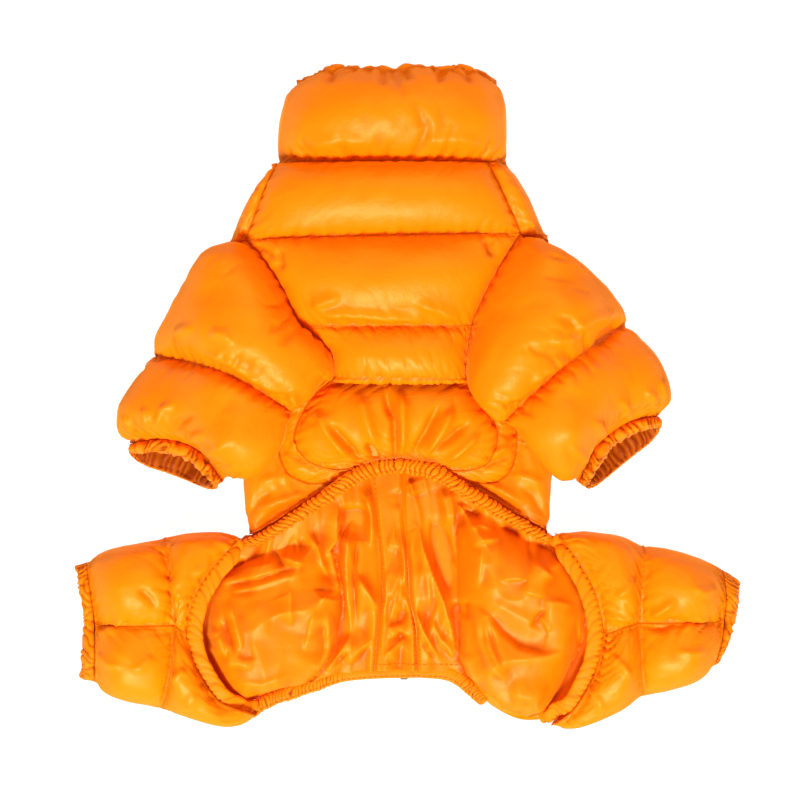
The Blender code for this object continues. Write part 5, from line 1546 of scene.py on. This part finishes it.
def archLift(points):
    # how far the cloth is drawn up to the elastic's sides: weight and height
    x, y = points[..., 0], points[..., 1]
    below = np.interp(x, arch[:, 0], arch[:, 1]) - y
    weight = np.exp(-(np.maximum(below, 0) / 11.0) ** 2) * smoothStep(np.abs(x + 4), 30, 58)
    return weight, np.interp(x, arch[:, 0], arch[:, 2]) - 4.0


def liningSurface(plan, folds, steps):
    # height of the thin inner cloth over its padding, the same function for all three pieces
    points = np.dstack([plan, np.zeros(plan.shape[:2])])
    z = rumpStartZ + 2.4 + domeZ("Left", points) + domeZ("Right", points)
    weight, drawn = archLift(points)
    z = z * (1 - weight) + np.maximum(z, drawn) * weight
    # a trough goes no deeper than twice its width
    folds = [(width, max(2.2 * height, -2.0 * width), *rest) for width, height, *rest in folds]
    z = z + foldRelief(points, folds, 3.2) + stepRelief(points, steps) * 1.3
    z = z + hangingFolds(points, liningSeed)
    return np.dstack([plan, np.maximum(z, rumpStartZ - 0.8)])


def thinCloth(top, wall):
    # a thin wall below a height field, in the form that the other cloth has
    normal = gridNormals(top)
    flip = bool(normal[..., 2].mean() < 0)
    normal = -normal if flip else normal
    return {"outer": top, "inner": top - normal * wall, "tube": False, "flip": flip}


liningBorder = {   # outer edge beside the elastic arch: y, x
    "Left": ((-38, -26), (-56, -42), (-70, -66), (-80, -92)),
    "Right": ((-38, 22), (-56, 36), (-70, 56), (-80, 82)),
}
liningStartY, hemOverlap = -38.0, 3.6


def addLining(name, node, plan, away, reach, folds, steps, **cut):
    # a lining's face: folds over its padding, with the borders beside the facing's edges
    # eased to borderZ within reach, where away is the distance from them
    top = liningSurface(plan, folds, steps)
    edge = smoothStep(away, 0.0, reach)
    top[..., 2] = top[..., 2] * edge + borderZ * (1 - edge)
    padTop = rumpPad - 2.4 + (domeZ("Left", top) + domeZ("Right", top)) * 0.8
    top[..., 2] = np.maximum(top[..., 2], padTop + liningWall)
    cloth = thinCloth(top, liningWall)
    # strong painted shade in the lining's valleys and painted highlight on its crests
    cloth["shade"] = {"reach": 4, "full": 1.4, "dark": 0.8, "pale": 0.4}
    piece = addPiece(name, shellMesh(name, cloth, liningNylon), "lining", node)
    return top


for side, sign in (("Left", -1), ("Right", 1)):
    legX, legY = legPlace(legRows[side][0], np.linspace(0.03, 0.95, 12))
    borderY = np.concatenate([[y for y, x in liningBorder[side]], legY])[::-1]
    borderX = np.concatenate([[x for y, x in liningBorder[side]], legX - sign * legGap])[::-1]
    rear = np.array(rumpRear[side][1 if side == "Left" else 0:], float)
    across = np.linspace(0, 1, timesThree(100, 0.8) + 1)
    out = np.abs(rear[:, 0])
    rearY = np.interp(across, (out - out[0]) / (out[-1] - out[0]), rear[:, 1])
    rearX = rear[0, 0] + (rear[-1, 0] - rear[0, 0]) * across
    rearY -= hemOverlap * (1 - smoothStep(np.abs(rearX + 10), 46, 60))
    along = np.linspace(0, 1, timesThree(140, 0.8) + 1)[:, None]
    y = liningStartY + (rearY[None] - liningStartY) * along
    inside = edgeOfFacing(side, y) + sign * borderGap
    plan = np.dstack([inside + (np.interp(y, borderY, borderX) - inside) * across[None], y])
    folds = rearFolds["side" + side] + rearFolds["dome" + side]
    steps = rearFolds.get("steps" + side, [])
    rightTop = addLining("rumpLining" + side, "rump_lining_" + side.lower(), plan,
                         np.abs(plan[..., 0] - plan[:, :1, 0]), 3.0, folds, steps,
                         flat=(0.110, 0.150), held="gathered")

rows = np.linspace(liningStartY, -164.0, timesThree(126, 0.8) + 1)[:, None]
share = np.linspace(0, 1, timesThree(26, 0.8) + 1)[None]
leftX, rightX = edgeOfFacing("Left", rows) + borderGap, edgeOfFacing("Right", rows) - borderGap
plan = np.dstack([leftX + (rightX - leftX) * share, rows + share * 0])
away = np.minimum(plan[..., 0] - plan[:, :1, 0], plan[:, -1:, 0] - plan[..., 0])
folds, steps = rearFolds["facing"], rearFolds["stepsFacing"]
facingTop = addLining("zipFacing", "zip_facing", plan, away, 2.4, folds, steps,
                      flat=(0.026, 0.126), held="laid")
print("linings made")

threadLook = {"every": 3.3, "long": 2.3, "thick": 0.55}


def capsules(name, centre, ahead, above, long, thick, material):
    # short six-sided rods drawn in at both ends, one for each centre, all in one mesh
    ahead = unit(ahead)
    above = unit(above - ahead * (ahead * above).sum(-1, keepdims=True))
    beside = np.cross(ahead, above)
    turn = np.arange(6) * np.pi / 3
    rows = np.array(((-0.5, 0.45), (-0.36, 1.0), (0.36, 1.0), (0.5, 0.45)))
    shape = (np.cos(turn)[:, None, None] * beside + np.sin(turn)[:, None, None] * above) * thick / 2
    points = centre + rows[:, 0, None, None, None] * long * ahead + rows[:, 1, None, None, None] * shape[None]
    points = points.transpose(2, 0, 1, 3)          # rod, row, corner
    start = np.arange(len(centre)) * 24
    sides = (quadsOf(4, 6)[None] + start[:, None, None]).reshape(-1, 4)
    caps = np.concatenate([ring[None] + start[:, None] for ring in (np.arange(6)[::-1], np.arange(18, 24))])
    return meshOf(name, points, sides[:, ::-1].tolist() + caps[:, ::-1].tolist(), material)


def stitchesAlong(runs, every):
    # even places along each run, with the run's direction and its outward normal there
    centres, aheads, aboves = [], [], []
    for points, outward in runs:
        gone = arcAlong(points)
        at = np.arange(every / 2, gone[-1], every)
        centre, before, after = (np.stack([np.interp(at + d, gone, points[:, k]) for k in range(3)], -1)
                                 for d in (0, -every / 3, every / 3))
        centres.append(centre)
        aheads.append(after - before)
        aboves.append(np.stack([np.interp(at, gone, outward[:, k]) for k in range(3)], -1))
    return np.concatenate(centres), np.concatenate(aheads), np.concatenate(aboves)


upward = np.array((0.0, 0.0, 1.0))
hemSeamY, threadLift = -160.2, upward * 0.15
longRows = ((facingTop, 2, -133, -42), (facingTop, -3, -163, -128), (rightTop, 2, -160, -128))
for grid, column, low, high in longRows:
    run = grid[:, column]
    run = run[(run[:, 1] > low) & (run[:, 1] < high)]
    stitchRuns.append((run + threadLift, run * 0 + upward))
for grid, high in ((facingTop, 99), (rightTop, 31)):
    run = grid[int(np.argmin(np.abs(grid[:, 3, 1] - hemSeamY)))]
    run = run[run[:, 0] < high]
    stitchRuns.append((run + threadLift, run * 0 + upward))
centre, ahead, above = stitchesAlong(stitchRuns, threadLook["every"])
mesh = capsules("seamStitches", centre, ahead, above, threadLook["long"], threadLook["thick"], spunThread)
addPiece("seamStitches", mesh, "elastic_edge")
print("stitches made:", len(centre))

# a coil zip: two woven tapes with a row of nylon teeth from each, and a plated slider and pull
zipLook = {"tapeGap": 0.8, "tapeHalf": 4.9, "tapeThick": 0.7, "toothEvery": 1.1, "toothLong": 2.7,
           "toothThick": 1.05}
chainLow, chainHigh = [np.array(c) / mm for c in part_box("zip_chain")]
tapeRows, tapePosts = 120, 16
tapeSet = []
for sign in (-1, 1):
    # rounded flat section: |u|^4 + |v|^4 = 1, swept from end to end
    half = (zipLook["tapeHalf"] - zipLook["tapeGap"]) / 2
    middle = (zipLook["tapeHalf"] + zipLook["tapeGap"]) / 2
    turn = np.linspace(0, 2 * np.pi, tapePosts, endpoint=False)
    u, v = (np.sign(f) * np.abs(f) ** 0.5 for f in (np.cos(turn), np.sin(turn)))
    length = np.linspace(chainLow[1], chainHigh[1], tapeRows)[:, None]
    wave = 0.12 * noiseLine(length, 7.0, 3 + sign)
    x = zipX + sign * middle + half * u + length * 0
    z = chainHigh[2] - 0.45 + wave * 0.4 + zipLook["tapeThick"] / 2 * v
    tapeSet.append(np.stack([x, length + u * 0, z], -1))
quads = quadsOf(tapeRows, tapePosts)
quads = np.concatenate([quads, quads + tapeRows * tapePosts])[:, ::-1]
lastRing = (tapeRows - 1) * tapePosts
caps = [list(range(first + k, first + k + tapePosts))[::way] for first in (0, tapeRows * tapePosts)
        for k, way in ((0, 1), (lastRing, -1))]
mesh = meshOf("zipTapes", np.stack(tapeSet), quads.tolist() + caps, tapeTwill)
addPiece("zipTapes", mesh, "zip_tape", "zip_chain")
toothY = np.arange(chainLow[1] + 1, chainHigh[1] - 0.5, zipLook["toothEvery"])
toothX = zipX + 0.45 * np.where(np.arange(len(toothY)) % 2, 1, -1)
centre = np.stack([toothX, toothY, toothY * 0 + chainLow[2] + 0.55], -1)
mesh = capsules("zipTeeth", centre, centre * 0 + (1.0, 0, 0), centre * 0 + upward, zipLook["toothLong"],
                zipLook["toothThick"], toothNylon)
addPiece("zipTeeth", mesh, "zip_tape", "zip_chain")
for node in ("zip_slider", "zip_pull"):
    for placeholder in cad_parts[node].material_slots:
        placeholder.material = platedZinc
print("zip made")

# stage, light and camera
floorMesh = bpy.data.meshes.new("floor")
floorMesh.from_pydata([(-4, -4, 0), (4, -4, 0), (4, 4, 0), (-4, 4, 0)], [], [(0, 1, 2, 3)])
floor = newObject("floor", floorMesh)
paper, paperTree, paperShader = newMaterial("mattWhitePaper")
plug(paperTree, paperShader, {"Base Color": hexColour("#8C8C8C"), "Roughness": 0.9,
                              "Emission Color": (1, 1, 1, 1), "Emission Strength": 0.97})
floorMesh.materials.append(paper)


def areaLight(name, place, size, watts, colour):
    # a round soft box aimed at the garment
    data = bpy.data.lights.new(name, "AREA")
    data.shape, data.size, data.energy = "DISK", size, watts
    data.color = hexColour(colour)[:3]
    lamp = newObject(name, data)
    lamp.location = place
    lamp.rotation_euler = (-Vector(place)).to_track_quat("-Z", "Y").to_euler()


areaLight("keyBeyondTail", (-0.12, -1.0, 1.3), 0.45, 35, "#FFF4E2")
areaLight("fillBeyondCollar", (0.3, 1.0, 1.1), 1.0, 10, "#FFC88A")
world = bpy.data.worlds.new("studio")
world.use_nodes = True
world.node_tree.nodes["Background"].inputs[0].default_value = hexColour("#FFD9A8")
world.node_tree.nodes["Background"].inputs[1].default_value = 0.23
bpy.context.scene.world = world
bpy.context.scene.view_settings.view_transform = "Standard"

cameraData = bpy.data.cameras.new("camera")
cameraData.lens, cameraData.sensor_width = 85, 36
camera = newObject("camera", cameraData)
camera.location = (-0.0045, 0.0003, 1.158)
bpy.context.scene.camera = camera

print("finished")
